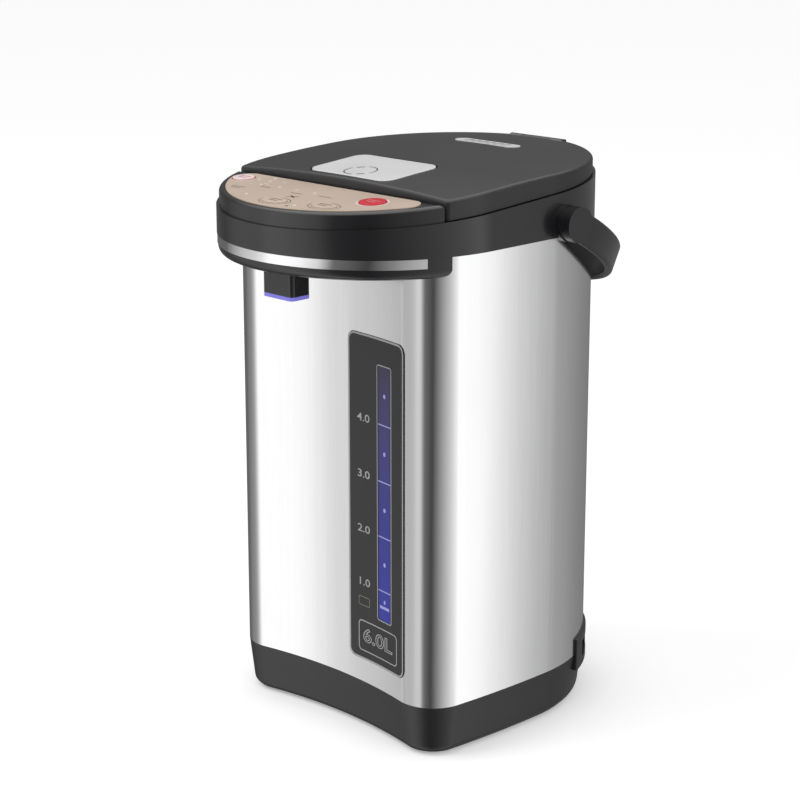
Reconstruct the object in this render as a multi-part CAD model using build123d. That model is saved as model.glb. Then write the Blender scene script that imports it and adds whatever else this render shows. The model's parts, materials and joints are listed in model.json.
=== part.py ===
from build123d import *
from math import atan, cos, degrees, hypot, radians, sin, sqrt
import os

# Electric thermo pot, six litres, with a push-button pump, a hinged lid and a swinging handle.
# Millimetres. +Z is up, -Y is the front with the spout, +X is the user's right.
# The origin lies on the table, on the axis of the round rear of the body.

# ---------------------------------------------------------------- body outline
BODY_RADIUS = 105.4          # round rear half of the steel shell
CORNER_DRAW = 9.0            # the sides are drawn in by this much at the front corners
FRONT_FLAT = 5.2             # the hollow front stands this much nearer the axis than the rear
FRONT_HOLLOW_RADIUS = 330.0
FRONT_CORNER_RADIUS = 26.0
STEEL = 0.6                  # sheet thickness of the shell and of the inner pot
WALL = 2.5                   # usual plastic wall

CORNER_HALF_WIDTH = BODY_RADIUS - CORNER_DRAW
FRONT_DEPTH = BODY_RADIUS - FRONT_FLAT

# ---------------------------------------------------------------- head outline
HEAD_OVERHANG = 1.5          # head beyond the shell
NOSE_CENTRE = 61.8           # axis to the centre of the rounded nose
UPPER_INSET = 2.0            # lid and panel housing stand back from the collar edge
HEAD_RADIUS = BODY_RADIUS + HEAD_OVERHANG
NOSE_FRONT = NOSE_CENTRE + HEAD_RADIUS

# ---------------------------------------------------------------- heights
FOOT_GAP = 2.0               # base edge above the table
BASE_TOP = 36.4
SHELL_TOP = 345.3
COLLAR_LAP = 2.0             # collar hangs this far over the shell
SKIRT_DEPTH = 4.0            # thin skirt of the collar above the shell's rim
LIP_HEIGHT = 14.0
SPOUT_HEIGHT = 19.8
HEAD_HEIGHT = 27.0           # shell rim to the sloping joint between collar and lid, on the body axis
SEAM_SLOPE = 0.069           # rise of that joint towards the rear
PANEL_RISE = 10.7            # panel top above the joint
LID_HEIGHT = 18.2            # highest point of the domed lid above the joint
LID_DOME_RADIUS = 1300.0
LID_DOME_Y = 45.0
BIG = 420.0                  # larger than the object, for cutting blocks
COLLAR_BOTTOM = SHELL_TOP - COLLAR_LAP
SKIRT_TOP = SHELL_TOP + SKIRT_DEPTH
LIP_BOTTOM = COLLAR_BOTTOM - LIP_HEIGHT
SPOUT_BOTTOM = LIP_BOTTOM - SPOUT_HEIGHT
SEAM_HEIGHT = SHELL_TOP + HEAD_HEIGHT
LID_TOP = SEAM_HEIGHT + LID_HEIGHT

# ---------------------------------------------------------------- clearances
FIT = 0.15                   # beside fixed neighbours
RUN = 0.05                   # radial, round pins and shafts
GAP = 0.3                    # beside moving neighbours

# ---------------------------------------------------------------- base
BASE_TAPER = 4.0
BASE_EDGE_RADIUS = 6.0
BASE_WALL = 2.8
UPSTAND = 6.0                # spigot inside the steel shell
UPSTAND_LAP = 1.0            # its foot below the top of the base
UPSTAND_ROOT = 8.0           # the base is hollowed wider above this depth below its top
PLATE_THICK = 2.5
FLANGE_THICK = 4.0
FLANGE_WIDTH = 6.0
RING_INSET = 31.5            # foot ring inside the round of the body
RING_WIDTH = 12.0
RING_SEAT = 1.0
RING_CHAMFER = 0.5
PLATE_SLOTS = 7
PLATE_SLOT_PITCH = 8.0
PLATE_SLOT_LENGTH = 50.0
PLATE_SLOT_WIDTH = 3.0
SCREW_RADIUS = 1.5
SCREW_HEAD_RADIUS = 3.0
SCREW_HEAD = 1.6
SCREW_LENGTH = 12.0
SCREW_SLOT_LENGTH = 3.6
SCREW_SLOT = 0.8
LUG_RADIUS = 6.0
LUG_HEIGHT = 12.0
FRONT_LUG_INSET = 17.5
FRONT_LUG_Y = -60.0
REAR_LUG_INSET = 14.0
REAR_LUG_ANGLE = 41.5        # from the X axis
RING_OUTER = BODY_RADIUS - RING_INSET
RING_INNER = RING_OUTER - RING_WIDTH

# ---------------------------------------------------------------- inner pot
POT_INSET = 9.3              # inside of the pot behind the hollow front
POT_RISE = 32.2              # pot floor above the base
POT_EDGE_RADIUS = 8.0
POT_FLANGE = 8.0
SUPPORT_THICK = 5.0
SLEEVE_GAP = 1.5
SLEEVE_THICK = 3.0
SLEEVE_RISE = 10.0
SEAL_HEIGHT = 2.3
SEAL_MARGIN = 1.0
MOUTH_INSET = 3.0
SEAT_WIDTH = 6.0
SEAT_THICK = 2.2
DECK = 3.0
SPIGOT_LENGTH = 8.0          # water outlet below the pot
FILTER_HEIGHT = 5.0
FILTER_WIDTH = 5.0           # filter wider than the outlet
FILTER_WALL = 1.0
FILTER_HOLE_RADIUS = 1.2
FILTER_HOLES = 8
POT_RADIUS = FRONT_DEPTH - POT_INSET
POT_FLOOR = BASE_TOP + POT_RISE
POT_TOP = SHELL_TOP
FLANGE_RADIUS = POT_RADIUS + POT_FLANGE
MOUTH_RADIUS = POT_RADIUS - MOUTH_INSET
SEAT_RADIUS = MOUTH_RADIUS - SEAT_WIDTH
SLEEVE_BOTTOM = POT_FLOOR + SLEEVE_RISE

# ---------------------------------------------------------------- heater
HEATER_RADIUS = 52.0
HEATER_THICK = 2.0
ELEMENT_RADIUS = 38.0
ELEMENT_TUBE = 3.5
ELEMENT_ARC = 330.0          # degrees of the loop
ELEMENT_TAIL = 9.0
POWER_BOARD = (66.0, 84.0)
POWER_BOARD_INSET = 63.5     # centre of the board inside the round of the body
POWER_BOARD_Y = -4.0
POWER_BOARD_Z = 16.0
POWER_POST_INSET = 5.0
RELAY_SIZE = (15.0, 19.0, 15.0)
RELAY_OFFSET = (-15.0, 20.0)
THERMOSTAT_RADIUS = 8.0
THERMOSTAT_HEIGHT = 7.0
THERMOSTAT_OFFSET = 18.0
BLADE_SIZE = (1.0, 6.0, 8.0)
BLADE_OFFSET = 5.0
SENSOR_RADIUS = 4.0
SENSOR_HEIGHT = 9.0
POWER_BOARD_CENTRE = (POWER_BOARD_INSET - BODY_RADIUS, POWER_BOARD_Y)

# ---------------------------------------------------------------- pump and water path
GAUGE_X = 51.0               # level tube and pump stand on this line
TUBE_INSET = 8.8             # tube axis behind the middle of the hollow front
TUBE_RADIUS = 5.0
TUBE_BORE = 3.6
TUBE_DROP = 16.0             # top of the tube below the pot's rim
TUBE_FOOT = 4.0              # tube reaches below the pot floor
OUTLET_INSET = 18.7          # water outlet inside the pot wall
PUMP_RADIUS = 21.0
PUMP_HEIGHT = 20.0
PUMP_SINK = 5.0              # underside of the pump below the top of the base
PUMP_WALL = 2.0
PUMP_POST_ANGLES = (30, 150, 270)
PUMP_POST_RADIUS = 3.0
MOTOR_RADIUS = 14.0
MOTOR_HEIGHT = 20.0
SHAFT_RADIUS = 1.5
IMPELLER_RADIUS = 15.0
IMPELLER_HEIGHT = 7.0
IMPELLER_DISC = 1.5
IMPELLER_BLADES = 6
BLADE_THICK = 1.6
BLADE_ROOT = 3.0
HUB_RADIUS = 4.0
SHAFT_END = 4.0              # shaft above the pump floor
PORT_RADIUS = 5.0
PORT_BORE = 3.6
OUTLET_PORT = 8.0            # ports beyond the pump housing
INLET_PORT = 7.0
PORT_ROOT = 0.1              # the inlet port starts this deep in the housing
HOSE_WALL = 1.5
HOSE_CLEAR = 1.4             # hose run under the deck of the nose
HOSE_BEND = 8.0
RISER_BEND = 9.5
RISER_GAP = 1.0              # hose end in front of the pump housing
HOSE_END_GAP = 0.5
INTAKE_HIGH_GAP = 0.2
NOZZLE_LIFT = 4.5            # nozzle above the lower edge of the spout
NOZZLE_FLANGE = 1.5
NOZZLE_FLANGE_THICK = 1.0
PUMP_BOTTOM = BASE_TOP - PUMP_SINK
PUMP_TOP = PUMP_BOTTOM + PUMP_HEIGHT
PUMP_Y = -sqrt((POT_RADIUS - OUTLET_INSET)**2 - GAUGE_X**2)
PORT_Z = (PUMP_BOTTOM + PUMP_TOP) / 2
TUBE_Y = TUBE_INSET - FRONT_DEPTH
TUBE_BOTTOM = POT_FLOOR - TUBE_FOOT
TUBE_TOP = POT_TOP - TUBE_DROP
NOZZLE_END = SPOUT_BOTTOM + NOZZLE_LIFT

# ---------------------------------------------------------------- level window
WINDOW_LEFT_MARGIN = 38.0    # gauge line to the left edge
WINDOW_RIGHT_MARGIN = 22.0
WINDOW_RISE = 16.6           # lower edge above the base
WINDOW_DROP = 62.4           # upper edge below the shell's rim
WINDOW_CORNER = 6.0
WINDOW_PROUD = 0.5
WINDOW_DEPTH = 1.9
WINDOW_FLANGE = 3.0
SLOT_WIDTH = 14.6
SLOT_RISE = 34.4             # slot above the window's lower edge
SLOT_DROP = 18.7             # slot below its upper edge
SLOT_CORNER = 2.0
LENS_SUNK = 0.2
CHANNEL_WALL = 1.2
CHANNEL_MARGIN = 18.0
CHANNEL_FRONT = 1.5
WINDOW_LEFT = GAUGE_X - WINDOW_LEFT_MARGIN
WINDOW_RIGHT = GAUGE_X + WINDOW_RIGHT_MARGIN
WINDOW_BOTTOM = BASE_TOP + WINDOW_RISE
WINDOW_TOP = SHELL_TOP - WINDOW_DROP
SLOT_BOTTOM = WINDOW_BOTTOM + SLOT_RISE
SLOT_TOP = WINDOW_TOP - SLOT_DROP
CHANNEL_BOTTOM = SLOT_BOTTOM - CHANNEL_MARGIN
CHANNEL_TOP = WINDOW_TOP + CHANNEL_MARGIN

# ---------------------------------------------------------------- nose
LIP_INSET = 0.8
LIP_BACK = 6.8               # the lip ends this far behind the hollow front
LIP_EDGE_RADIUS = 6.0
STRIP_PROUD = 0.5
STRIP_THICK = 1.2
STRIP_HEIGHT = 6.4
STRIP_FORWARD = 9.4          # the strip ends this far in front of the hollow front
SPOUT_HALF_WIDTH = 14.3
SPOUT_INSET = 17.0           # spout behind the tip of the nose
SPOUT_DEPTH = 17.0
SPOUT_CORNER = 3.0
SPOUT_WALL = 2.0
SPOUT_FLANGE = 2.0
GLOW_HEIGHT = 2.5
LIP_END = FRONT_DEPTH - LIP_BACK
STRIP_END = FRONT_DEPTH + STRIP_FORWARD
STRIP_BOTTOM = COLLAR_BOTTOM - STRIP_HEIGHT
SPOUT_FRONT = NOSE_FRONT - SPOUT_INSET
SPOUT_MIDDLE = SPOUT_DEPTH / 2 - SPOUT_FRONT
NOZZLE_Y = SPOUT_MIDDLE
HOSE_HEIGHT = SEAM_HEIGHT + SEAM_SLOPE * NOZZLE_Y - DECK - TUBE_RADIUS - HOSE_CLEAR

# ---------------------------------------------------------------- power inlet
INLET_ANGLE = 36.0           # from +X towards the rear
INLET_HALF_ANGLE = 15.0
INLET_DROP = 12.0            # block below the top of the base
INLET_HEIGHT = 23.0
INLET_PROUD = 2.0
INLET_EDGE_RADIUS = 1.2
INLET_DEPTH = 15.5           # box inside the round of the body
INLET_BOX_WIDTH = 40.0
INLET_BOX_WALL = 2.5
SOCKET_WIDTH = 30.0
SOCKET_HEIGHT = 12.0
SOCKET_DEPTH = 10.0
INLET_PIN_RADIUS = 1.5
INLET_PIN_SPACING = 20.0
INLET_PIN_LENGTH = 6.0
INLET_BOTTOM = BASE_TOP - INLET_DROP
INLET_TOP = INLET_BOTTOM + INLET_HEIGHT
INLET_INNER = BODY_RADIUS - INLET_DEPTH

# ---------------------------------------------------------------- control panel
HOUSING_BACK = 2.3           # rear wall of the panel housing behind the hollow front
HOUSING_WALL = 2.2
HOUSING_EDGE_RADIUS = 2.5
PANEL_SKIN = 1.0
INSERT_MARGIN = 4.5
INSERT_REAR_MARGIN = 1.8
INSERT_CORNER = 11.0
INSERT_SEAT = 1.0
INSERT_THICK = 1.4
BUTTON_PROUD = 0.9
BUTTON_TRAVEL = 0.8
BUTTON_FLANGE = 1.2
BUTTON_FLANGE_THICK = 1.0
BUTTON_STEM_RADIUS = 2.0
BUTTON_EDGE_RADIUS = 0.5
DISPENSE_MARGIN = 52.0       # button centre to the side of the head
UNLOCK_MARGIN = 32.0
LIGHT_RADIUS = 1.2
LIGHT_PROUD = 0.2
BOARD_THICK = 1.6
BOARD_RISE = 1.2
BOARD_MARGIN = 7.0
BOARD_REAR_MARGIN = 4.0
KEEPER_ROOM = 24.0
POST_RADIUS = 2.5
POST_SIDE_MARGIN = 29.0
POST_REAR_MARGIN = 7.0
POST_FRONT_MARGIN = 14.0
POST_FRONT_X = 24.0
SWITCH_SIZE = 6.0
SWITCH_PLUNGER = 1.6
SWITCH_STROKE = 0.4
SWITCH_SLACK = 0.1           # button stem above its switch when pressed
STEM_DROP = 1.8              # button stem above the board
HOUSING_REAR = FRONT_DEPTH - HOUSING_BACK
UNLOCK_X = UNLOCK_MARGIN - HEAD_RADIUS
BUTTONS = {                  # centre (across, and in front of the housing's rear wall) and half sizes
    "dispense_button": (HEAD_RADIUS - DISPENSE_MARGIN, 19.5, 9.5, 9.0),
    "unlock_button": (UNLOCK_X, 15.0, 8.0, 7.0),
    "reboil_button": (-3.0, 51.0, 10.0, 6.0),
    "temperature_button": (36.0, 44.0, 10.0, 6.0),
}
LIGHTS_BY_UNLOCK = [(27, 23), (14, 13), (25, 13), (21, 5)]
LIGHTS_IN_MIDDLE = [(-31, 21.5), (-14, 21.5), (3, 21.5), (-35, 47), (18, 53)]

# ---------------------------------------------------------------- lid
LID_JOINT = 1.5              # between the lid and the panel housing
LID_LIFT = 0.5               # lid above the joint
LID_WALL = 2.5
LID_EDGE_RADIUS = 2.5
LID_CORNER_RADIUS = 4.0
LINER_THICK = 2.4
PLUG_WALL = 1.0
PLUG_RISE = 2.5              # underside of the plug above its seat
GASKET_INSET = 2.6
GASKET_LAP = 6.0             # under the plug
VENT_Y = 48.0
VENT_HALF_WIDTH = 29.0
VENT_DEPTH = 12.0
VENT_THICK = 1.8
VENT_PROUD = 0.2
VENT_SEAT = 2.0
VENT_SLOTS = 6
VENT_SLOT_WIDTH = 2.2
VENT_SLOT_LENGTH = 7.6
VENT_SLOT_PITCH = 7.0
VENT_SLANT = 30.0
DUCT_RADIUS = 7.0
DUCT_WALL = 1.5
LID_SCREW_MARGIN = 4.5       # outside the mouth
LID_SCREW_ANGLES = (20, 160, -38, -142)
LID_SCREW_LENGTH = 5.0
LID_BOSS_HEIGHT = 12.0
LID_BOSS_RADIUS = 3.3
LID_FRONT = HOUSING_REAR - LID_JOINT
PLUG_RADIUS = SEAT_RADIUS
GASKET_RADIUS = MOUTH_RADIUS - GASKET_INSET
GASKET_INNER = PLUG_RADIUS - GASKET_LAP
LID_SCREW_RING = MOUTH_RADIUS + LID_SCREW_MARGIN

# ---------------------------------------------------------------- lid release
LEVER_BACK = 34.0            # centre of the silver plate behind the panel housing
LEVER_WIDTH = 76.0
LEVER_DEPTH = 52.0
LEVER_CORNER = 9.0
LEVER_THICK = 2.4
LEVER_CHAMFER = 0.4
LEVER_SUNK = 0.2
LEVER_GAP = 1.2
POCKET_DEPTH = 8.0
POCKET_FLOOR = 1.4
PIN_BACK = 20.0              # pin behind the middle of the plate
PIN_DROP = 5.0               # pin axis below the lid surface
PIN_RADIUS = 1.0
EAR_RADIUS = 2.4
PEDESTAL_RADIUS = 1.9
EAR_WIDTH = 4.0
EAR_X = 24.0
PEDESTAL_WIDTH = 4.0
BOLT_HALF_WIDTH = 10.0
BOLT_THICK = 3.0
BOLT_LIFT = 0.2              # bolt above the liner it slides on
BOLT_REACH = 3.5             # into the panel housing
BOLT_LENGTH = 32.0
BOLT_TRAVEL = 4.2
BOLT_BEVEL = 1.5
FINGER_WIDTH = 8.0
FINGER_THICK = 2.0           # at the tip
FINGER_FORWARD = 17.0        # in front of the middle of the plate
FINGER_DIP = 3.2             # the tip goes down this far when the plate is pressed
CAM_HEIGHT = 5.6             # 45 degree face that pushes the bolt back
CAM_GAP = 0.4
KEEPER_THICK = 1.2
KEEPER_MARGIN = 4.0
KEEPER_GAP = 1.5
SPRING_WIRE = 0.25
SPRING_COIL = 1.7
SPRING_PITCH = 1.2
SPRING_LENGTH = 12.0
LEVER_Y = LEVER_BACK - HOUSING_REAR
PIN_Y = LEVER_Y + PIN_BACK
FINGER_FRONT = LEVER_Y - FINGER_FORWARD
BOLT_TIP = HOUSING_REAR + BOLT_REACH

# ---------------------------------------------------------------- lid hinge
HINGE_INSET = 5.5            # hinge axis inside the rear of the head
HINGE_RISE = 5.7            # hinge axis above the joint
KNUCKLE_RADIUS = 5.0
HINGE_HALF_WIDTH = 25.0
LID_KNUCKLE_HALF = 13.0
HINGE_PIN_RADIUS = 2.0
HINGE_FOOT = 3.0             # foot of the ears below the deck
HINGE_Y = HEAD_RADIUS - HINGE_INSET
HINGE_Z = SEAM_HEIGHT + SEAM_SLOPE * HINGE_Y + HINGE_RISE

# ---------------------------------------------------------------- handle
PIVOT_Y = 11.0
PIVOT_RISE = 6.6             # pivot above the shell's rim
BOSS_RADIUS = 12.4
BOSS_STEP = 2.0              # inner part of the boss is smaller
BOSS_PROUD = 2.5             # boss beyond the head
BOSS_DEPTH = 4.5             # boss inside the head
WASHER_RADIUS = 11.5
WASHER_THICK = 2.3
ARM_CLEAR = 5.2              # arms beyond the head
ARM_THICK = 6.0
ARM_STRAIGHT = 5.0
BAND_WIDTH = 21.0
ARM_END_RADIUS = 12.0
BAND_EDGE_RADIUS = 2.5
HANDLE_DROOP = 28.0
HANDLE_PIN_RADIUS = 4.0
HANDLE_PIN_DEPTH = 4.0
HANDLE_PIN_HEAD = 6.5
HANDLE_PIN_HEAD_THICK = 2.5
PIVOT_Z = SHELL_TOP + PIVOT_RISE
BOSS_FACE = HEAD_RADIUS + BOSS_PROUD
BOSS_PAD = HEAD_RADIUS - BOSS_DEPTH
ARM_INNER = HEAD_RADIUS + ARM_CLEAR

# ---------------------------------------------------------------- worked-out places
SEAM_ANGLE = degrees(atan(SEAM_SLOPE))
SEAM_PLANE = Plane(origin=(0, 0, SEAM_HEIGHT), x_dir=(1, 0, 0), z_dir=(0, -SEAM_SLOPE, 1))
CORNER_DEPTH = FRONT_DEPTH + FRONT_HOLLOW_RADIUS - sqrt(FRONT_HOLLOW_RADIUS**2 - CORNER_HALF_WIDTH**2)
POT_UNDERSIDE = POT_FLOOR - STEEL
SEAT_BOTTOM = POT_TOP + SEAL_HEIGHT
SEAT_TOP = SEAT_BOTTOM + SEAT_THICK
PLUG_BOTTOM = SEAT_TOP + PLUG_RISE
INSERT_TOP = PANEL_RISE - INSERT_SEAT + INSERT_THICK
BOARD_TOP = BOARD_RISE + BOARD_THICK
BUTTON_BOTTOM = BOARD_TOP + STEM_DROP
SWITCH_TOP = BUTTON_BOTTOM - BUTTON_TRAVEL - SWITCH_SLACK
LOWER = (Align.CENTER, Align.CENTER, Align.MIN)
UPPER = (Align.CENTER, Align.CENTER, Align.MAX)
BOLT_RISE = LID_LIFT + LINER_THICK + BOLT_LIFT
FINGER_TIP_Z = SEAM_HEIGHT + SEAM_SLOPE * FINGER_FRONT + 2 * GAP + FINGER_DIP


def prism(face, bottom, top):
    """Upright solid of a horizontal outline between two heights."""
    return Pos(0, 0, bottom) * extrude(face, top - bottom)


def body_outline(inset=0.0):
    """Plan of the steel shell: round rear, gently drawn-in sides, hollow front."""
    corner = (CORNER_HALF_WIDTH, -CORNER_DEPTH)
    mirrored = (-CORNER_HALF_WIDTH, -CORNER_DEPTH)
    rear = ThreePointArc((BODY_RADIUS, 0), (0, BODY_RADIUS), (-BODY_RADIUS, 0))
    left = TangentArc((-BODY_RADIUS, 0), mirrored, tangent=(0, -1))
    front = ThreePointArc(mirrored, (0, -FRONT_DEPTH), corner)
    right = TangentArc((BODY_RADIUS, 0), corner, tangent=(0, -1))
    face = make_face([rear, left, front, right])
    corners = [v for v in face.vertices() if v.Y < -FRONT_DEPTH / 2]
    face = fillet(corners, FRONT_CORNER_RADIUS)
    return offset(face, amount=-inset) if inset else face


def head_outline(inset=0.0):
    """Plan of the head: two equal round ends, the front one round the nose."""
    radius = HEAD_RADIUS - inset
    centres = (0, -NOSE_CENTRE / 2)
    return Pos(*centres) * SlotCenterToCenter(NOSE_CENTRE, radius * 2, rotation=90)


def in_front_of(y):
    """Block that keeps everything in front of a plane y."""
    return Pos(0, y, 0) * Box(BIG, BIG, 2 * BIG, align=(Align.CENTER, Align.MAX, Align.CENTER))


def above_seam(rise=0.0):
    """Block above the sloping joint, or above a plane parallel to it."""
    return SEAM_PLANE.offset(rise).location * Box(BIG, BIG, BIG, align=LOWER)


def on_seam(x, y, rise, shape):
    """Shape standing square on the sloping joint, at a place given in plan, raised along its normal."""
    return SEAM_PLANE.location * Pos(x, y / cos(radians(SEAM_ANGLE)), rise) * shape


def seam_slab(face, low, high):
    """Upright prism of an outline, cut off between two planes parallel to the joint."""
    return (prism(face, SEAM_HEIGHT - BIG / 8, SEAM_HEIGHT + BIG / 8) & above_seam(low)) - above_seam(high)


def dome(lower=0.0):
    """Ball whose top is the surface of the lid."""
    return Pos(0, LID_DOME_Y, LID_TOP - LID_DOME_RADIUS) * Sphere(LID_DOME_RADIUS - lower)


def lid_surface(x, y):
    """Height of the lid surface at a place."""
    reach = hypot(x, y - LID_DOME_Y)
    return LID_TOP - LID_DOME_RADIUS + sqrt(LID_DOME_RADIUS**2 - reach**2)


def lid_plane(y):
    """Plane that touches the lid surface on the centre line."""
    lean = (y - LID_DOME_Y) / LID_DOME_RADIUS
    return Plane(origin=(0, y, lid_surface(0, y)), x_dir=(1, 0, 0), z_dir=(0, lean, 1))


def ring(outer, inner, height):
    """Flat ring standing on the origin plane."""
    return Cylinder(outer, height, align=LOWER) - Cylinder(inner, height, align=LOWER)


def cross_rod(radius, x_low, x_high, y, z):
    """Round rod parallel to X."""
    rod = Cylinder(radius, x_high - x_low, align=LOWER)
    return Pos(x_low, y, z) * Rot(0, 90, 0) * rod


def screw(length):
    """Pan-head screw, head down, shank up from the origin plane."""
    head = Pos(0, 0, -SCREW_HEAD) * Cylinder(SCREW_HEAD_RADIUS, SCREW_HEAD, align=LOWER)
    for turn in (0, 90):
        slot = Box(SCREW_SLOT_LENGTH, SCREW_SLOT, SCREW_SLOT, align=LOWER)
        head -= Pos(0, 0, -SCREW_HEAD) * Rot(0, 0, turn) * slot
    return head + Cylinder(SCREW_RADIUS, length, align=LOWER)


def tube_along(points, radii, outer, bore):
    """Hose with straight runs joined by tangent arcs."""
    path = FilletPolyline(*points, radius=radii)
    start = Plane(origin=path @ 0, z_dir=path % 0)
    return sweep(start * (Circle(outer) - Circle(bore)), path=path)


# ================================================================ base
def base_outside():
    """Tapered outside of the base with its rounded lower edge."""
    low = Pos(0, 0, FOOT_GAP) * body_outline(BASE_TAPER)
    high = Pos(0, 0, BASE_TOP) * body_outline(0.0)
    solid = loft([low, high], ruled=True)
    return fillet(solid.faces().sort_by(Axis.Z)[0].edges(), BASE_EDGE_RADIUS)


def inlet_block(grow=0.0):
    """Curved block of the power inlet, or the larger hole that takes it."""
    outer = BODY_RADIUS + INLET_PROUD
    half = INLET_HALF_ANGLE + degrees(grow / outer)
    height = INLET_TOP - INLET_BOTTOM + 2 * grow
    reach = 2 * outer
    spread = reach * sin(radians(half)) / cos(radians(half))
    wedge = Polygon((0, 0), (reach, -spread), (reach, spread), align=None)
    face = (Circle(outer) - Circle(BODY_RADIUS - 2 * BASE_TAPER)) & wedge
    return Rot(0, 0, INLET_ANGLE) * Pos(0, 0, INLET_BOTTOM - grow) * extrude(face, height)


def plate_outline():
    return body_outline(BASE_TAPER + BASE_WALL + FIT)


def base_screw_spots():
    front = BODY_RADIUS - FRONT_LUG_INSET
    reach = BODY_RADIUS - REAR_LUG_INSET
    rear = (reach * cos(radians(REAR_LUG_ANGLE)), reach * sin(radians(REAR_LUG_ANGLE)))
    return [(front, FRONT_LUG_Y), (-front, FRONT_LUG_Y), rear, (-rear[0], rear[1])]


def make_base_housing():
    solid = base_outside()
    solid += prism(body_outline(STEEL + FIT), BASE_TOP - UPSTAND_LAP, BASE_TOP + UPSTAND)
    plate_top = FOOT_GAP + PLATE_THICK
    solid -= prism(body_outline(BASE_TAPER + BASE_WALL), 0, plate_top)
    solid -= prism(body_outline(BASE_TAPER + BASE_WALL + FLANGE_WIDTH), 0, BASE_TOP + UPSTAND)
    solid -= prism(body_outline(BASE_TAPER + BASE_WALL), plate_top + FLANGE_THICK, BASE_TOP + UPSTAND)
    solid -= prism(body_outline(STEEL + FIT + BASE_WALL), BASE_TOP - UPSTAND_ROOT, BASE_TOP + UPSTAND)
    for x, y in base_screw_spots():
        lug = Cylinder(LUG_RADIUS, LUG_HEIGHT, align=LOWER)
        hole = Cylinder(SCREW_RADIUS + RUN, LUG_HEIGHT, align=LOWER)
        solid += Pos(x, y, plate_top) * lug
        solid -= Pos(x, y, plate_top) * hole
    return solid - inlet_block(FIT)


def make_base_plate():
    plate_top = FOOT_GAP + PLATE_THICK
    solid = prism(plate_outline(), FOOT_GAP, plate_top)
    solid -= Pos(0, 0, FOOT_GAP) * ring(RING_OUTER + FIT, RING_INNER - FIT, RING_SEAT)
    for x, y in base_screw_spots():
        solid -= Pos(x, y, FOOT_GAP) * Cylinder(SCREW_RADIUS + FIT, PLATE_THICK, align=LOWER)
        solid -= Pos(x, y, FOOT_GAP) * Cylinder(SCREW_HEAD_RADIUS + FIT, SCREW_HEAD, align=LOWER)
    for index in range(PLATE_SLOTS):
        y = (index - (PLATE_SLOTS - 1) / 2) * PLATE_SLOT_PITCH
        solid -= Pos(0, y, FOOT_GAP) * Box(PLATE_SLOT_LENGTH, PLATE_SLOT_WIDTH, PLATE_THICK, align=LOWER)
    for x, y in pump_posts():
        solid += Pos(x, y, plate_top) * Cylinder(PUMP_POST_RADIUS, PUMP_BOTTOM - plate_top, align=LOWER)
    for x, y in power_posts():
        solid += Pos(x, y, plate_top) * Cylinder(POST_RADIUS, POWER_BOARD_Z - plate_top, align=LOWER)
    return solid


def make_foot_ring():
    height = FOOT_GAP + RING_SEAT
    solid = ring(RING_OUTER, RING_INNER, height)
    return chamfer(solid.faces().sort_by(Axis.Z)[0].edges(), RING_CHAMFER)


def make_base_screws():
    return [Pos(x, y, FOOT_GAP + SCREW_HEAD) * screw(SCREW_LENGTH) for x, y in base_screw_spots()]


# ================================================================ shell and pot
def window_block(grow, depth_out, depth_in):
    """Curved plate of the level window, following the hollow front."""
    width = WINDOW_RIGHT - WINDOW_LEFT + 2 * grow
    height = WINDOW_TOP - WINDOW_BOTTOM + 2 * grow
    middle = ((WINDOW_LEFT + WINDOW_RIGHT) / 2, (WINDOW_BOTTOM + WINDOW_TOP) / 2)
    face = Plane.XZ * Pos(*middle) * RectangleRounded(width, height, WINDOW_CORNER)
    block = extrude(face, BIG, dir=(0, -1, 0))
    low = WINDOW_BOTTOM - 2 * WINDOW_FLANGE
    high = WINDOW_TOP + 2 * WINDOW_FLANGE
    return (prism(body_outline(depth_out), low, high) - prism(body_outline(depth_in), low, high)) & block


def slot_block(grow, depth_out, depth_in):
    """Curved strip of the gauge slot in the level window."""
    width = SLOT_WIDTH + 2 * grow
    height = SLOT_TOP - SLOT_BOTTOM + 2 * grow
    middle = (GAUGE_X, (SLOT_BOTTOM + SLOT_TOP) / 2)
    face = Plane.XZ * Pos(*middle) * RectangleRounded(width, height, SLOT_CORNER)
    block = extrude(face, BIG, dir=(0, -1, 0))
    strip = prism(body_outline(depth_out), WINDOW_BOTTOM, WINDOW_TOP)
    return (strip - prism(body_outline(depth_in), WINDOW_BOTTOM, WINDOW_TOP)) & block


def make_steel_shell():
    solid = prism(body_outline(), BASE_TOP, SHELL_TOP)
    solid -= prism(body_outline(STEEL), BASE_TOP, SHELL_TOP)
    solid -= window_block(FIT, -2 * STEEL, 3 * STEEL)
    return solid - inlet_block(FIT)


def make_level_panel():
    back = STEEL + FIT
    solid = window_block(0.0, -WINDOW_PROUD, back + WINDOW_DEPTH)
    solid += window_block(WINDOW_FLANGE, back, back + WINDOW_DEPTH)
    return solid - slot_block(0.0, -2 * WINDOW_PROUD, 4 * WINDOW_DEPTH)


def make_level_lens():
    back = STEEL + FIT + WINDOW_DEPTH
    return slot_block(-FIT, LENS_SUNK - WINDOW_PROUD, back)


def make_tube_channel():
    """Blue channel that carries the level tube behind the window."""
    half = SLOT_WIDTH / 2 + CHANNEL_WALL
    rear = TUBE_Y + TUBE_RADIUS + GAP + CHANNEL_WALL
    height = CHANNEL_TOP - CHANNEL_BOTTOM
    outer = Box(2 * half, rear + BIG / 2, height, align=(Align.CENTER, Align.MAX, Align.MIN))
    inner = Box(2 * half - 2 * CHANNEL_WALL, BIG / 2, height, align=(Align.CENTER, Align.MAX, Align.MIN))
    solid = Pos(GAUGE_X, rear, CHANNEL_BOTTOM) * (outer - Pos(0, -CHANNEL_WALL, 0) * inner)
    inside = prism(body_outline(STEEL + 2 * FIT + WINDOW_DEPTH), CHANNEL_BOTTOM, CHANNEL_TOP)
    return (solid & inside) - in_front_of(-FRONT_DEPTH - CHANNEL_FRONT)


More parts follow.
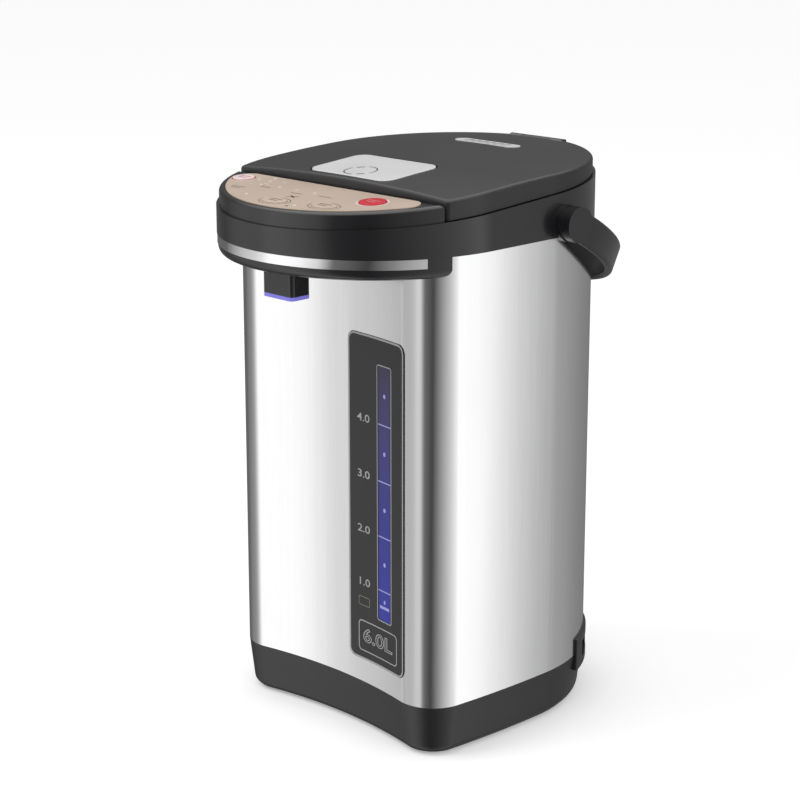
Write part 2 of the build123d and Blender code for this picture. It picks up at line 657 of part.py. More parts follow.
def make_inner_pot():
    outer = POT_RADIUS + STEEL
    profile = Polyline((0, POT_UNDERSIDE), (outer, POT_UNDERSIDE), (outer, POT_TOP - STEEL),
                       (FLANGE_RADIUS, POT_TOP - STEEL), (FLANGE_RADIUS, POT_TOP), (POT_RADIUS, POT_TOP),
                       (POT_RADIUS, POT_FLOOR), (0, POT_FLOOR), close=True)
    solid = revolve(Plane.XZ * make_face(profile), Axis.Z)
    outside_edge = solid.edges().filter_by(GeomType.CIRCLE).filter_by(
        lambda e: abs(e.radius - outer) < RUN and e.center().Z < POT_FLOOR)
    solid = fillet(outside_edge, POT_EDGE_RADIUS + STEEL)
    inside_edge = solid.edges().filter_by(GeomType.CIRCLE).filter_by(
        lambda e: abs(e.radius - POT_RADIUS) < RUN and e.center().Z < POT_FLOOR + STEEL)
    solid = fillet(inside_edge, POT_EDGE_RADIUS)
    spigot = Cylinder(PORT_RADIUS, SPIGOT_LENGTH, align=UPPER)
    bore = Cylinder(PORT_BORE, 3 * PORT_RADIUS)
    place = Pos(GAUGE_X, PUMP_Y, POT_UNDERSIDE + STEEL / 2)
    return solid + place * spigot - place * bore


def make_outlet_filter():
    """Perforated strainer over the water outlet in the pot floor."""
    outer = PORT_RADIUS + FILTER_WIDTH
    cap = Cylinder(outer, FILTER_HEIGHT, align=LOWER)
    cap -= Cylinder(outer - FILTER_WALL, FILTER_HEIGHT - FILTER_WALL, align=LOWER)
    for index in range(FILTER_HOLES):
        spot = Rot(0, 0, index * 360 / FILTER_HOLES) * Pos(PORT_RADIUS, 0, 0)
        cap -= spot * Cylinder(FILTER_HOLE_RADIUS, FILTER_HEIGHT, align=LOWER)
    return Pos(GAUGE_X, PUMP_Y, POT_FLOOR) * cap


def make_rim_support():
    """Moulded frame inside the top of the shell that carries the pot by its flange."""
    top = POT_TOP - STEEL
    solid = prism(body_outline(STEEL + FIT), top - SUPPORT_THICK, top)
    solid -= Pos(0, 0, top - SUPPORT_THICK) * Cylinder(POT_RADIUS + STEEL + GAP, SUPPORT_THICK, align=LOWER)
    hole = Cylinder(TUBE_RADIUS + HOSE_WALL + GAP, SUPPORT_THICK, align=LOWER)
    return solid - Pos(GAUGE_X, TUBE_Y, top - SUPPORT_THICK) * hole


def make_insulation_sleeve():
    inner = POT_RADIUS + STEEL + SLEEVE_GAP
    height = POT_TOP - STEEL - SUPPORT_THICK - SLEEVE_BOTTOM
    sleeve = ring(inner + SLEEVE_THICK, inner, height)
    notch_face = tube_front_of_sleeve()
    return Pos(0, 0, SLEEVE_BOTTOM) * sleeve - notch_face


def tube_front_of_sleeve():
    """Room that the sleeve leaves for the level tube and its channel."""
    half = SLOT_WIDTH / 2 + CHANNEL_WALL + GAP
    rear = TUBE_Y + TUBE_RADIUS + 2 * GAP + CHANNEL_WALL
    block = Box(2 * half, BIG / 4, BIG, align=(Align.CENTER, Align.MAX, Align.MIN))
    return Pos(GAUGE_X, rear, 0) * block


def make_pot_seal():
    return Pos(0, 0, POT_TOP) * ring(FLANGE_RADIUS - SEAL_MARGIN, POT_RADIUS + SEAL_MARGIN, SEAL_HEIGHT)


# ================================================================ heater, pump, electrics
def make_heater_plate():
    plate = Cylinder(HEATER_RADIUS, HEATER_THICK, align=LOWER)
    return Pos(0, 0, POT_UNDERSIDE - HEATER_THICK) * plate


def make_heater_element():
    centre = POT_UNDERSIDE - HEATER_THICK - ELEMENT_TUBE
    profile = Plane.XZ * Pos(ELEMENT_RADIUS, centre) * Circle(ELEMENT_TUBE)
    loop = revolve(profile, Axis.Z, revolution_arc=ELEMENT_ARC)
    for turn in (0, ELEMENT_ARC):
        tail = Cylinder(ELEMENT_TUBE, ELEMENT_TAIL, align=UPPER)
        loop += Rot(0, 0, turn) * Pos(ELEMENT_RADIUS, 0, centre) * tail
    flat = Pos(0, 0, POT_UNDERSIDE - HEATER_THICK) * Cylinder(HEATER_RADIUS, ELEMENT_TAIL, align=LOWER)
    return loop - flat


def make_thermostats():
    under = POT_UNDERSIDE - HEATER_THICK
    can = Cylinder(THERMOSTAT_RADIUS, THERMOSTAT_HEIGHT, align=UPPER)
    for side in (-1, 1):
        can += Pos(side * BLADE_OFFSET, 0, -THERMOSTAT_HEIGHT) * Box(*BLADE_SIZE, align=UPPER)
    return [Pos(side * THERMOSTAT_OFFSET, 0, under) * can for side in (-1, 1)]


def make_temperature_sensor():
    under = POT_UNDERSIDE - HEATER_THICK
    body = Cylinder(SENSOR_RADIUS, SENSOR_HEIGHT, align=UPPER)
    return Pos(0, 0, under) * body


def pump_posts():
    spots = []
    reach = PUMP_RADIUS - PUMP_POST_RADIUS
    for turn in PUMP_POST_ANGLES:
        spots.append((GAUGE_X + reach * cos(radians(turn)), PUMP_Y + reach * sin(radians(turn))))
    return spots


def make_pump_housing():
    middle = Pos(0, 0, PORT_Z - PUMP_BOTTOM) * Rot(90, 0, 0)
    solid = Cylinder(PUMP_RADIUS, PUMP_HEIGHT, align=LOWER)
    solid += middle * Cylinder(PORT_RADIUS, PUMP_RADIUS + OUTLET_PORT, align=LOWER)
    solid += Pos(0, 0, PUMP_HEIGHT - PORT_ROOT) * Cylinder(PORT_RADIUS, INLET_PORT, align=LOWER)
    cavity = Cylinder(PUMP_RADIUS - PUMP_WALL, PUMP_HEIGHT - 2 * PUMP_WALL, align=LOWER)
    solid -= Pos(0, 0, PUMP_WALL) * cavity
    solid -= middle * Cylinder(PORT_BORE, PUMP_RADIUS + 2 * OUTLET_PORT, align=LOWER)
    solid -= Pos(0, 0, PUMP_HEIGHT / 2) * Cylinder(PORT_BORE, PUMP_HEIGHT, align=LOWER)
    solid -= Cylinder(SHAFT_RADIUS + RUN, PUMP_HEIGHT / 2, align=LOWER)
    return Pos(GAUGE_X, PUMP_Y, PUMP_BOTTOM) * solid


def make_pump_motor():
    solid = Cylinder(MOTOR_RADIUS, MOTOR_HEIGHT, align=UPPER)
    solid -= Cylinder(SHAFT_RADIUS + RUN, 3 * MOTOR_HEIGHT)
    return Pos(GAUGE_X, PUMP_Y, PUMP_BOTTOM) * solid


def make_pump_rotor():
    """Impeller and the shaft that runs down through the motor."""
    shaft = Cylinder(SHAFT_RADIUS, MOTOR_HEIGHT + PUMP_WALL + SHAFT_END, align=LOWER)
    rotor = Cylinder(IMPELLER_RADIUS, IMPELLER_DISC, align=LOWER)
    rotor += Cylinder(HUB_RADIUS, IMPELLER_HEIGHT, align=LOWER)
    outwards = (Align.MIN, Align.CENTER, Align.MIN)
    length = IMPELLER_RADIUS - BLADE_ROOT
    blade = Pos(BLADE_ROOT, 0, 0) * Box(length, BLADE_THICK, IMPELLER_HEIGHT, align=outwards)
    for index in range(IMPELLER_BLADES):
        rotor += Rot(0, 0, index * 360 / IMPELLER_BLADES) * blade
    raised = Pos(0, 0, MOTOR_HEIGHT + PUMP_WALL + SHAFT_END / 2) * rotor
    return Pos(GAUGE_X, PUMP_Y, PUMP_BOTTOM - MOTOR_HEIGHT) * (shaft + raised)


def make_intake_hose():
    top = POT_UNDERSIDE - INTAKE_HIGH_GAP
    bottom = PUMP_TOP + HOSE_END_GAP
    hose = ring(PORT_RADIUS + FIT + HOSE_WALL, PORT_RADIUS + FIT, top - bottom)
    return Pos(GAUGE_X, PUMP_Y, bottom) * hose


def make_riser_hose():
    """Elbow from the pump outlet up to the level tube."""
    start = (GAUGE_X, PUMP_Y - PUMP_RADIUS - RISER_GAP, PORT_Z)
    points = [start, (GAUGE_X, TUBE_Y, PORT_Z), (GAUGE_X, TUBE_Y, TUBE_BOTTOM + TUBE_FOOT)]
    bore = PORT_RADIUS + FIT
    return tube_along(points, RISER_BEND, bore + HOSE_WALL, bore)


def make_level_tube():
    return Pos(GAUGE_X, TUBE_Y, TUBE_BOTTOM) * ring(TUBE_RADIUS, TUBE_BORE, TUBE_TOP - TUBE_BOTTOM)


def make_outlet_hose():
    """Hose from the level tube over the front wall into the nozzle."""
    end = LIP_BOTTOM + WALL + SPOUT_FLANGE + NOZZLE_FLANGE_THICK + HOSE_END_GAP
    points = [(GAUGE_X, TUBE_Y, TUBE_TOP), (GAUGE_X, TUBE_Y, HOSE_HEIGHT), (0, NOZZLE_Y, HOSE_HEIGHT),
              (0, NOZZLE_Y, end)]
    return tube_along(points, HOSE_BEND, TUBE_RADIUS, TUBE_BORE)


def power_posts():
    x, y = POWER_BOARD_CENTRE
    half_x = POWER_BOARD[0] / 2 - POWER_POST_INSET
    half_y = POWER_BOARD[1] / 2 - POWER_POST_INSET
    return [(x + sx * half_x, y + sy * half_y) for sx in (-1, 1) for sy in (-1, 1)]


def make_power_board():
    board = Box(*POWER_BOARD, BOARD_THICK, align=LOWER)
    return Pos(*POWER_BOARD_CENTRE, POWER_BOARD_Z) * board


def make_relay():
    place = Pos(*POWER_BOARD_CENTRE, POWER_BOARD_Z + BOARD_THICK) * Pos(*RELAY_OFFSET)
    return place * Box(*RELAY_SIZE, align=LOWER)


def make_power_inlet():
    solid = inlet_block()
    outer = BODY_RADIUS + INLET_PROUD
    middle = (INLET_BOTTOM + INLET_TOP) / 2
    vertical = [e for e in solid.edges() if abs(e.tangent_at(0.5).Z) > 0.99
                and hypot(e.center().X, e.center().Y) > BODY_RADIUS]
    solid = fillet(vertical, INLET_EDGE_RADIUS)
    inwards = (Align.MIN, Align.CENTER, Align.CENTER)
    depth = BODY_RADIUS - BASE_TAPER - INLET_INNER
    box = Box(depth, INLET_BOX_WIDTH, SOCKET_HEIGHT + 2 * INLET_BOX_WALL, align=inwards)
    turned = Rot(0, 0, INLET_ANGLE)
    solid += turned * Pos(INLET_INNER, 0, middle) * box
    socket = Box(2 * SOCKET_DEPTH, SOCKET_WIDTH, SOCKET_HEIGHT, align=inwards)
    return solid - turned * Pos(outer - SOCKET_DEPTH, 0, middle) * socket


def make_inlet_pins():
    floor = BODY_RADIUS + INLET_PROUD - SOCKET_DEPTH
    middle = (INLET_BOTTOM + INLET_TOP) / 2
    pin = Rot(0, 90, 0) * Cylinder(INLET_PIN_RADIUS, INLET_PIN_LENGTH, align=LOWER)
    turned = Rot(0, 0, INLET_ANGLE)
    return [turned * Pos(floor, side * INLET_PIN_SPACING / 2, middle) * pin for side in (-1, 1)]


# ================================================================ collar and nose
def make_collar():
    """Head ring: skirt over the shell, deck with the mouth, hinge ears and handle bosses."""
    solid = prism(head_outline(), COLLAR_BOTTOM, SEAM_HEIGHT + BIG / 20) - above_seam()
    for side in (-1, 1):
        inner_x, outer_x = sorted((side * BOSS_PAD, side * BOSS_FACE))
        solid += cross_rod(BOSS_RADIUS, inner_x, outer_x, PIVOT_Y, PIVOT_Z)
    solid -= prism(head_outline(WALL), COLLAR_BOTTOM - WALL, SEAM_HEIGHT + BIG / 20) - above_seam(-DECK)
    for side in (-1, 1):
        inner_x, outer_x = sorted((side * BOSS_PAD, side * (HEAD_RADIUS - WALL / 2)))
        solid += cross_rod(BOSS_RADIUS - BOSS_STEP, inner_x, outer_x, PIVOT_Y, PIVOT_Z)
    solid -= prism(body_outline(-FIT), COLLAR_BOTTOM - BIG / 20, SKIRT_TOP)
    mouth_wall = Pos(0, 0, SEAT_BOTTOM) * Cylinder(MOUTH_RADIUS + WALL, BIG / 8, align=LOWER) - above_seam()
    foot = Pos(0, 0, SEAT_BOTTOM) * Cylinder(FLANGE_RADIUS, SEAT_THICK, align=LOWER)
    solid += mouth_wall + foot
    solid -= Pos(0, 0, SEAT_TOP) * Cylinder(MOUTH_RADIUS, BIG / 4, align=LOWER)
    solid -= Pos(0, 0, SEAT_BOTTOM) * Cylinder(SEAT_RADIUS, BIG / 4, align=LOWER)
    for x, y in board_posts():
        solid += on_seam(x, y, -DECK / 2, Cylinder(POST_RADIUS, DECK / 2 + BOARD_RISE, align=LOWER))
    for side in (-1, 1):
        inner_x, outer_x = sorted((side * (LID_KNUCKLE_HALF + GAP), side * HINGE_HALF_WIDTH))
        solid += hinge_ear(inner_x, outer_x)
        pin_inner, pin_outer = sorted((side * (BOSS_PAD - BOSS_DEPTH), side * (BOSS_FACE + BOSS_PROUD)))
        solid -= cross_rod(HANDLE_PIN_RADIUS, pin_inner, pin_outer, PIVOT_Y, PIVOT_Z)
    solid -= cross_rod(HINGE_PIN_RADIUS, -BIG / 8, BIG / 8, HINGE_Y, HINGE_Z)
    return solid


def board_posts():
    """Places of the short posts under the control board."""
    side = HEAD_RADIUS - POST_SIDE_MARGIN
    rear = -HOUSING_REAR - POST_REAR_MARGIN
    front = POST_FRONT_MARGIN - NOSE_FRONT
    return [(-side, rear), (side, rear), (-POST_FRONT_X, front), (POST_FRONT_X, front)]


def hinge_ear(x_low, x_high):
    """Knuckle on a foot that stands on the rear of the deck."""
    foot = Box(x_high - x_low, 2 * KNUCKLE_RADIUS, KNUCKLE_RADIUS + DECK + HINGE_FOOT,
               align=(Align.MIN, Align.CENTER, Align.MAX))
    ear = cross_rod(KNUCKLE_RADIUS, x_low, x_high, HINGE_Y, HINGE_Z) + Pos(x_low, HINGE_Y, HINGE_Z) * foot
    return ear & prism(head_outline(), COLLAR_BOTTOM, SEAM_HEIGHT + BIG / 8)


def lip_outline(inset):
    """Plan of the nose lip in front of the shell."""
    plan = head_outline(LIP_INSET + inset) - body_outline(-GAP - inset)
    keep = Pos(0, -LIP_END - inset) * Rectangle(BIG, BIG, align=(Align.CENTER, Align.MAX))
    return plan & keep


def make_nose_lip():
    """Tray under the nose, rounded below, with the groove for the bright strip."""
    solid = prism(head_outline(LIP_INSET), LIP_BOTTOM, COLLAR_BOTTOM) & in_front_of(-LIP_END)
    solid = fillet(solid.faces().sort_by(Axis.Z)[0].edges(), LIP_EDGE_RADIUS)
    solid -= prism(body_outline(-GAP), LIP_BOTTOM - WALL, COLLAR_BOTTOM + WALL)
    solid -= prism(lip_outline(WALL), LIP_BOTTOM + WALL, COLLAR_BOTTOM)
    groove = head_outline(LIP_INSET) - head_outline(STRIP_THICK + LIP_INSET - STRIP_PROUD + FIT)
    solid -= prism(groove, STRIP_BOTTOM - FIT, COLLAR_BOTTOM) & in_front_of(-STRIP_END + FIT)
    hole = Box(2 * SPOUT_HALF_WIDTH + 2 * FIT, SPOUT_DEPTH + 2 * FIT, 2 * WALL)
    return solid - Pos(0, SPOUT_MIDDLE, LIP_BOTTOM + WALL / 2) * hole


def make_chrome_strip():
    outer_inset = LIP_INSET - STRIP_PROUD
    band = head_outline(outer_inset) - head_outline(outer_inset + STRIP_THICK)
    return prism(band, STRIP_BOTTOM, COLLAR_BOTTOM - FIT) & in_front_of(-STRIP_END)


def spout_outline(grow=0.0):
    return Pos(0, SPOUT_MIDDLE) * RectangleRounded(
        2 * SPOUT_HALF_WIDTH + 2 * grow, SPOUT_DEPTH + 2 * grow, SPOUT_CORNER)


def make_spout():
    """Square spout cover that hangs from the lip by its flange."""
    seat = LIP_BOTTOM + WALL
    solid = prism(spout_outline(), SPOUT_BOTTOM + GLOW_HEIGHT, seat + SPOUT_FLANGE)
    solid += prism(spout_outline(SPOUT_FLANGE), seat, seat + SPOUT_FLANGE)
    solid -= prism(spout_outline(-SPOUT_WALL), SPOUT_BOTTOM, seat)
    hole = Cylinder(TUBE_RADIUS + RUN, 3 * SPOUT_FLANGE, align=LOWER)
    return solid - Pos(0, NOZZLE_Y, seat - SPOUT_FLANGE) * hole


def make_spout_ring():
    return prism(spout_outline() - spout_outline(-SPOUT_WALL), SPOUT_BOTTOM, SPOUT_BOTTOM + GLOW_HEIGHT)


def make_nozzle():
    """Tapered end of the water path, held in the spout's top plate."""
    length = LIP_BOTTOM + WALL + SPOUT_FLANGE - NOZZLE_END
    tube = Cylinder(TUBE_RADIUS, length, align=LOWER)
    tube += Pos(0, 0, length) * Cylinder(TUBE_RADIUS + NOZZLE_FLANGE, NOZZLE_FLANGE_THICK, align=LOWER)
    return Pos(0, NOZZLE_Y, NOZZLE_END) * (tube - Cylinder(TUBE_BORE, 2 * length, align=LOWER))


# ================================================================ control panel
def oval(name, grow=0.0):
    x, forward, half_x, half_y = BUTTONS[name]
    return x, -HOUSING_REAR - forward, Ellipse(half_x + grow, half_y + grow)


def light_spots():
    places = [(UNLOCK_X + across, forward) for across, forward in LIGHTS_BY_UNLOCK] + LIGHTS_IN_MIDDLE
    return [(x, -HOUSING_REAR - forward) for x, forward in places]


def housing_outline(inset=0.0):
    keep = Pos(0, -HOUSING_REAR - inset) * Rectangle(BIG, BIG, align=(Align.CENTER, Align.MAX))
    return head_outline(UPPER_INSET + inset) & keep


def insert_outline(inset=0.0):
    rear = -HOUSING_REAR - INSERT_REAR_MARGIN
    keep = Pos(0, rear) * Rectangle(BIG, BIG, align=(Align.CENTER, Align.MAX))
    face = head_outline(UPPER_INSET + INSERT_MARGIN) & keep
    face = fillet([v for v in face.vertices() if v.Y > rear - FIT], INSERT_CORNER)
    return offset(face, amount=-inset) if inset else face


def latch_slot():
    """Slot in the rear wall of the panel housing for the latch bolt."""
    size = (2 * BOLT_HALF_WIDTH + 4 * GAP, 2 * HOUSING_WALL, BOLT_THICK + 4 * GAP)
    return on_seam(0, -HOUSING_REAR - HOUSING_WALL / 2, BOLT_RISE - 2 * GAP, Box(*size, align=LOWER))


def make_panel_housing():
    solid = seam_slab(housing_outline(), 0.0, PANEL_RISE)
    top = solid.faces().sort_by(Axis.Z)[-1]
    solid = fillet(top.edges(), HOUSING_EDGE_RADIUS)
    skin = PANEL_RISE - INSERT_SEAT - PANEL_SKIN
    solid -= seam_slab(housing_outline(HOUSING_WALL), -HOUSING_WALL, skin)
    solid -= seam_slab(insert_outline(-FIT), PANEL_RISE - INSERT_SEAT, 2 * PANEL_RISE)
    return solid - panel_holes(skin - PANEL_SKIN) - latch_slot()


def panel_holes(low):
    """Holes for the buttons and the light lenses, up from a height above the joint."""
    light_hole = Cylinder(LIGHT_RADIUS + FIT, PANEL_RISE, align=LOWER)
    holes = [on_seam(x, y, low, light_hole) for x, y in light_spots()]
    for name in BUTTONS:
        x, y, face = oval(name, GAP)
        holes.append(on_seam(x, y, low, extrude(face, PANEL_RISE)))
    return holes


def make_control_insert():
    low = PANEL_RISE - INSERT_SEAT
    return seam_slab(insert_outline(), low, INSERT_TOP) - panel_holes(low - PANEL_SKIN)


def make_button(name):
    """Oval cap with a flange below the panel skin and a stem over its switch."""
    x, y, face = oval(name)
    cap_top = INSERT_TOP + BUTTON_PROUD
    flange_top = PANEL_RISE - INSERT_SEAT - PANEL_SKIN - GAP
    cap = extrude(face, cap_top - flange_top + BUTTON_FLANGE_THICK)
    cap = fillet(cap.faces().sort_by(Axis.Z)[-1].edges(), BUTTON_EDGE_RADIUS)
    flange = extrude(oval(name, BUTTON_FLANGE)[2], BUTTON_FLANGE_THICK)
    stem = Cylinder(BUTTON_STEM_RADIUS, flange_top - BUTTON_BOTTOM, align=LOWER)
    drop = flange_top - BUTTON_FLANGE_THICK
    solid = Pos(0, 0, drop - BUTTON_BOTTOM) * (cap + flange) + stem
    return on_seam(x, y, BUTTON_BOTTOM, solid)


def make_indicator_lenses():
    low = PANEL_RISE - INSERT_SEAT - PANEL_SKIN
    lens = Cylinder(LIGHT_RADIUS, INSERT_TOP + LIGHT_PROUD - low, align=LOWER)
    return [on_seam(x, y, low, lens) for x, y in light_spots()]


def make_control_board():
    rear = -HOUSING_REAR - HOUSING_WALL - BOARD_REAR_MARGIN
    keep = Pos(0, rear) * Rectangle(BIG, BIG, align=(Align.CENTER, Align.MAX))
    face = head_outline(UPPER_INSET + BOARD_MARGIN) & keep
    keeper_room = Pos(0, -HOUSING_REAR) * Rectangle(4 * BOLT_HALF_WIDTH, KEEPER_ROOM)
    return seam_slab(face - keeper_room, BOARD_RISE, BOARD_TOP)


def make_key_switches():
    body = Box(SWITCH_SIZE, SWITCH_SIZE, SWITCH_TOP - BOARD_TOP - SWITCH_STROKE, align=LOWER)
    unit = body + Cylinder(SWITCH_PLUNGER, SWITCH_TOP - BOARD_TOP, align=LOWER)
    spots = [oval(name)[:2] for name in BUTTONS]
    return [on_seam(x, y, BOARD_TOP, unit) for x, y in spots]


def make_latch_keeper():
    """Steel catch behind the slot, standing on the deck, with its lip over the bolt."""
    width = 2 * (BOLT_HALF_WIDTH + KEEPER_MARGIN)
    height = BOLT_RISE + BOLT_THICK + GAP + KEEPER_THICK
    front = -BOLT_TIP - KEEPER_GAP
    lip_length = -HOUSING_REAR - HOUSING_WALL - FIT - front
    back = Box(width, KEEPER_THICK, height, align=(Align.CENTER, Align.MAX, Align.MIN))
    lip = Box(width, lip_length, KEEPER_THICK, align=(Align.CENTER, Align.MIN, Align.MAX))
    return on_seam(0, front, 0, back + Pos(0, 0, height) * lip)


# ================================================================ lid
def lid_outline(inset=0.0):
    keep = Pos(0, -LID_FRONT + inset) * Rectangle(BIG, BIG, align=(Align.CENTER, Align.MIN))
    return head_outline(UPPER_INSET + inset) & keep


def lever_block(grow, top, bottom):
    """Rounded rectangle round the release plate, between two depths below the lid surface."""
    face = RectangleRounded(LEVER_WIDTH + 2 * grow, LEVER_DEPTH + 2 * grow, LEVER_CORNER + grow)
    return lid_plane(LEVER_Y).offset(bottom).location * extrude(face, top - bottom)


def lid_pin_z():
    """Height of the lever pin."""
    lean = (LEVER_Y - LID_DOME_Y) / LID_DOME_RADIUS
    return lid_surface(0, LEVER_Y) - lean * (PIN_Y - LEVER_Y) - PIN_DROP


def vent_outline(grow=0.0):
    return SlotOverall(2 * VENT_HALF_WIDTH + 2 * grow, VENT_DEPTH + 2 * grow)


def hinge_room(grow):
    """Space round the hinge knuckles."""
    half = HINGE_HALF_WIDTH + GAP + grow
    block = Box(2 * half, BIG / 8, BIG / 8, align=(Align.CENTER, Align.MIN, Align.CENTER))
    return Pos(0, HINGE_Y - KNUCKLE_RADIUS - grow, HINGE_Z) * block


def make_lid_cover():
    outside = seam_slab(lid_outline(), LID_LIFT, BIG / 10) & dome()
    corners = [e for e in outside.edges().filter_by(Axis.Z) if e.center().Y < -LID_FRONT + 1]
    outside = fillet(corners, LID_CORNER_RADIUS)
    outside = fillet(outside.faces().filter_by(GeomType.SPHERE)[0].edges(), LID_EDGE_RADIUS)
    inside = seam_slab(lid_outline(LID_WALL), 0.0, BIG / 10) & dome(LID_WALL)
    inside -= hinge_room(GAP + LID_WALL)
    tray = lever_block(LEVER_GAP + POCKET_FLOOR, POCKET_FLOOR, -POCKET_DEPTH - POCKET_FLOOR)
    pocket = lever_block(LEVER_GAP, POCKET_DEPTH, -POCKET_DEPTH)
    vent = lid_plane(VENT_Y).offset(-VENT_THICK).location * extrude(vent_outline(FIT), 2 * VENT_THICK)
    throat = extrude(vent_outline(-VENT_SEAT), 3 * VENT_THICK)
    throat = lid_plane(VENT_Y).offset(-3 * VENT_THICK).location * throat
    solid = outside - (inside - tray) - pocket - vent - throat
    solid -= hinge_room(GAP)
    knuckle = cross_rod(KNUCKLE_RADIUS, -LID_KNUCKLE_HALF, LID_KNUCKLE_HALF, HINGE_Y, HINGE_Z)
    web = Box(2 * LID_KNUCKLE_HALF, 3 * KNUCKLE_RADIUS, KNUCKLE_RADIUS,
              align=(Align.CENTER, Align.MAX, Align.CENTER))
    solid += knuckle + Pos(0, HINGE_Y, HINGE_Z) * web
    solid -= cross_rod(HINGE_PIN_RADIUS + RUN, -HINGE_HALF_WIDTH, HINGE_HALF_WIDTH, HINGE_Y, HINGE_Z)
    for side in (-1, 1):
        solid += lever_pedestal(side)
    reach = EAR_X + EAR_WIDTH + PEDESTAL_WIDTH
    solid -= cross_rod(PIN_RADIUS, -reach, reach, PIN_Y, lid_pin_z())
    for x, y in lid_screw_spots():
        boss = Cylinder(LID_BOSS_RADIUS, LID_BOSS_HEIGHT, align=LOWER)
        hole = Cylinder(SCREW_RADIUS + RUN, LID_SCREW_LENGTH + 2 * LINER_THICK, align=LOWER)
        solid += on_seam(x, y, LID_LIFT + LINER_THICK, boss) & dome(LID_WALL / 2)
        solid -= on_seam(x, y, 0, hole)
    bolt_room = Box(2 * BOLT_HALF_WIDTH + 2 * GAP, 3 * LID_WALL, BOLT_THICK + 2 * GAP, align=LOWER)
    solid -= on_seam(0, -LID_FRONT, BOLT_RISE - GAP, bolt_room)
    return solid - finger_room()


def lever_pedestal(side):
    """Upright in the pocket that carries one end of the lever pin."""
    x = side * (EAR_X + EAR_WIDTH / 2 + GAP + PEDESTAL_WIDTH / 2)
    z = lid_pin_z()
    head = cross_rod(PEDESTAL_RADIUS, x - PEDESTAL_WIDTH / 2, x + PEDESTAL_WIDTH / 2, PIN_Y, z)
    leg = Box(PEDESTAL_WIDTH, 2 * PEDESTAL_RADIUS, POCKET_DEPTH - PIN_DROP + POCKET_FLOOR / 2, align=UPPER)
    return head + Pos(x, PIN_Y, z) * leg


def finger_room():
    """Slot in the pocket floor and the liner for the lever's finger."""
    length = FINGER_THICK + CAM_HEIGHT + 6 * GAP
    room = Box(FINGER_WIDTH + 4 * GAP, length, POCKET_DEPTH + 3 * BOLT_THICK,
               align=(Align.CENTER, Align.MIN, Align.MIN))
    return Pos(0, FINGER_FRONT - 2 * GAP, FINGER_TIP_Z - FINGER_DIP - GAP) * room


def make_lid_liner():
    """Closing plate under the lid."""
    low = LID_LIFT
    solid = seam_slab(lid_outline(LID_WALL + FIT), low, low + LINER_THICK)
    solid -= hinge_room(GAP + LID_WALL + FIT)
    solid -= Pos(0, VENT_Y, PLUG_BOTTOM) * Cylinder(DUCT_RADIUS - DUCT_WALL, BIG / 10, align=LOWER)
    for x, y in lid_screw_spots():
        solid -= on_seam(x, y, 0, Cylinder(SCREW_RADIUS + FIT, 2 * LINER_THICK, align=LOWER))
        solid -= on_seam(x, y, 0, Cylinder(SCREW_HEAD_RADIUS + FIT, LID_LIFT + SCREW_HEAD, align=LOWER))
    return solid - finger_room()


def lid_screw_spots():
    turns = [radians(turn) for turn in LID_SCREW_ANGLES]
    return [(LID_SCREW_RING * cos(turn), LID_SCREW_RING * sin(turn)) for turn in turns]


def make_inner_lid():
    """Stainless plug that closes the mouth."""
    wall = Pos(0, 0, PLUG_BOTTOM) * ring(PLUG_RADIUS, PLUG_RADIUS - PLUG_WALL, BIG / 10)
    floor = Pos(0, 0, PLUG_BOTTOM) * Cylinder(PLUG_RADIUS, PLUG_WALL, align=LOWER)
    solid = wall + floor - above_seam(LID_LIFT)
    return solid - Pos(0, VENT_Y, PLUG_BOTTOM) * Cylinder(DUCT_RADIUS - DUCT_WALL, BIG / 20, align=LOWER)


def make_lid_gasket():
    height = PLUG_BOTTOM - SEAT_TOP - GAP
    return Pos(0, 0, PLUG_BOTTOM - height) * ring(GASKET_RADIUS, GASKET_INNER, height)


def make_steam_duct():
    low = PLUG_BOTTOM + PLUG_WALL
    return Pos(0, VENT_Y, low) * ring(DUCT_RADIUS, DUCT_RADIUS - DUCT_WALL, BIG / 10) - above_seam(LID_LIFT)


def make_steam_vent():
    """Silver grille with slanted steam slots."""
    solid = extrude(vent_outline(), VENT_THICK + VENT_PROUD)
    slot = extrude(Rectangle(VENT_SLOT_WIDTH, VENT_SLOT_LENGTH), 3 * VENT_THICK)
    for index in range(VENT_SLOTS):
        x = (index - (VENT_SLOTS - 1) / 2) * VENT_SLOT_PITCH
        solid -= Pos(x, 0, -VENT_THICK) * Rot(0, 0, -VENT_SLANT) * slot
    return lid_plane(VENT_Y).location * Pos(0, 0, -VENT_THICK) * solid


def make_lid_screws():
    return [on_seam(x, y, LID_LIFT + SCREW_HEAD, screw(LID_SCREW_LENGTH)) for x, y in lid_screw_spots()]


def make_release_lever():
    """Silver plate that rocks on its pin and draws the bolt back with its finger."""
    plate = lever_block(0.0, -LEVER_SUNK, -LEVER_SUNK - LEVER_THICK)
    upper = plate.faces().sort_by(Axis.Z)[-1]
    plate = chamfer(upper.edges(), LEVER_CHAMFER)
    z = lid_pin_z()
    for side in (-1, 1):
        x = side * EAR_X
        ear = cross_rod(EAR_RADIUS, x - EAR_WIDTH / 2, x + EAR_WIDTH / 2, PIN_Y, z)
        neck = Pos(x, PIN_Y, z) * Box(EAR_WIDTH, 2 * EAR_RADIUS, PIN_DROP - LEVER_THICK / 2, align=LOWER)
        plate += ear + neck
    plate += lever_finger()
    return plate - cross_rod(PIN_RADIUS + RUN, -BIG / 8, BIG / 8, PIN_Y, z)


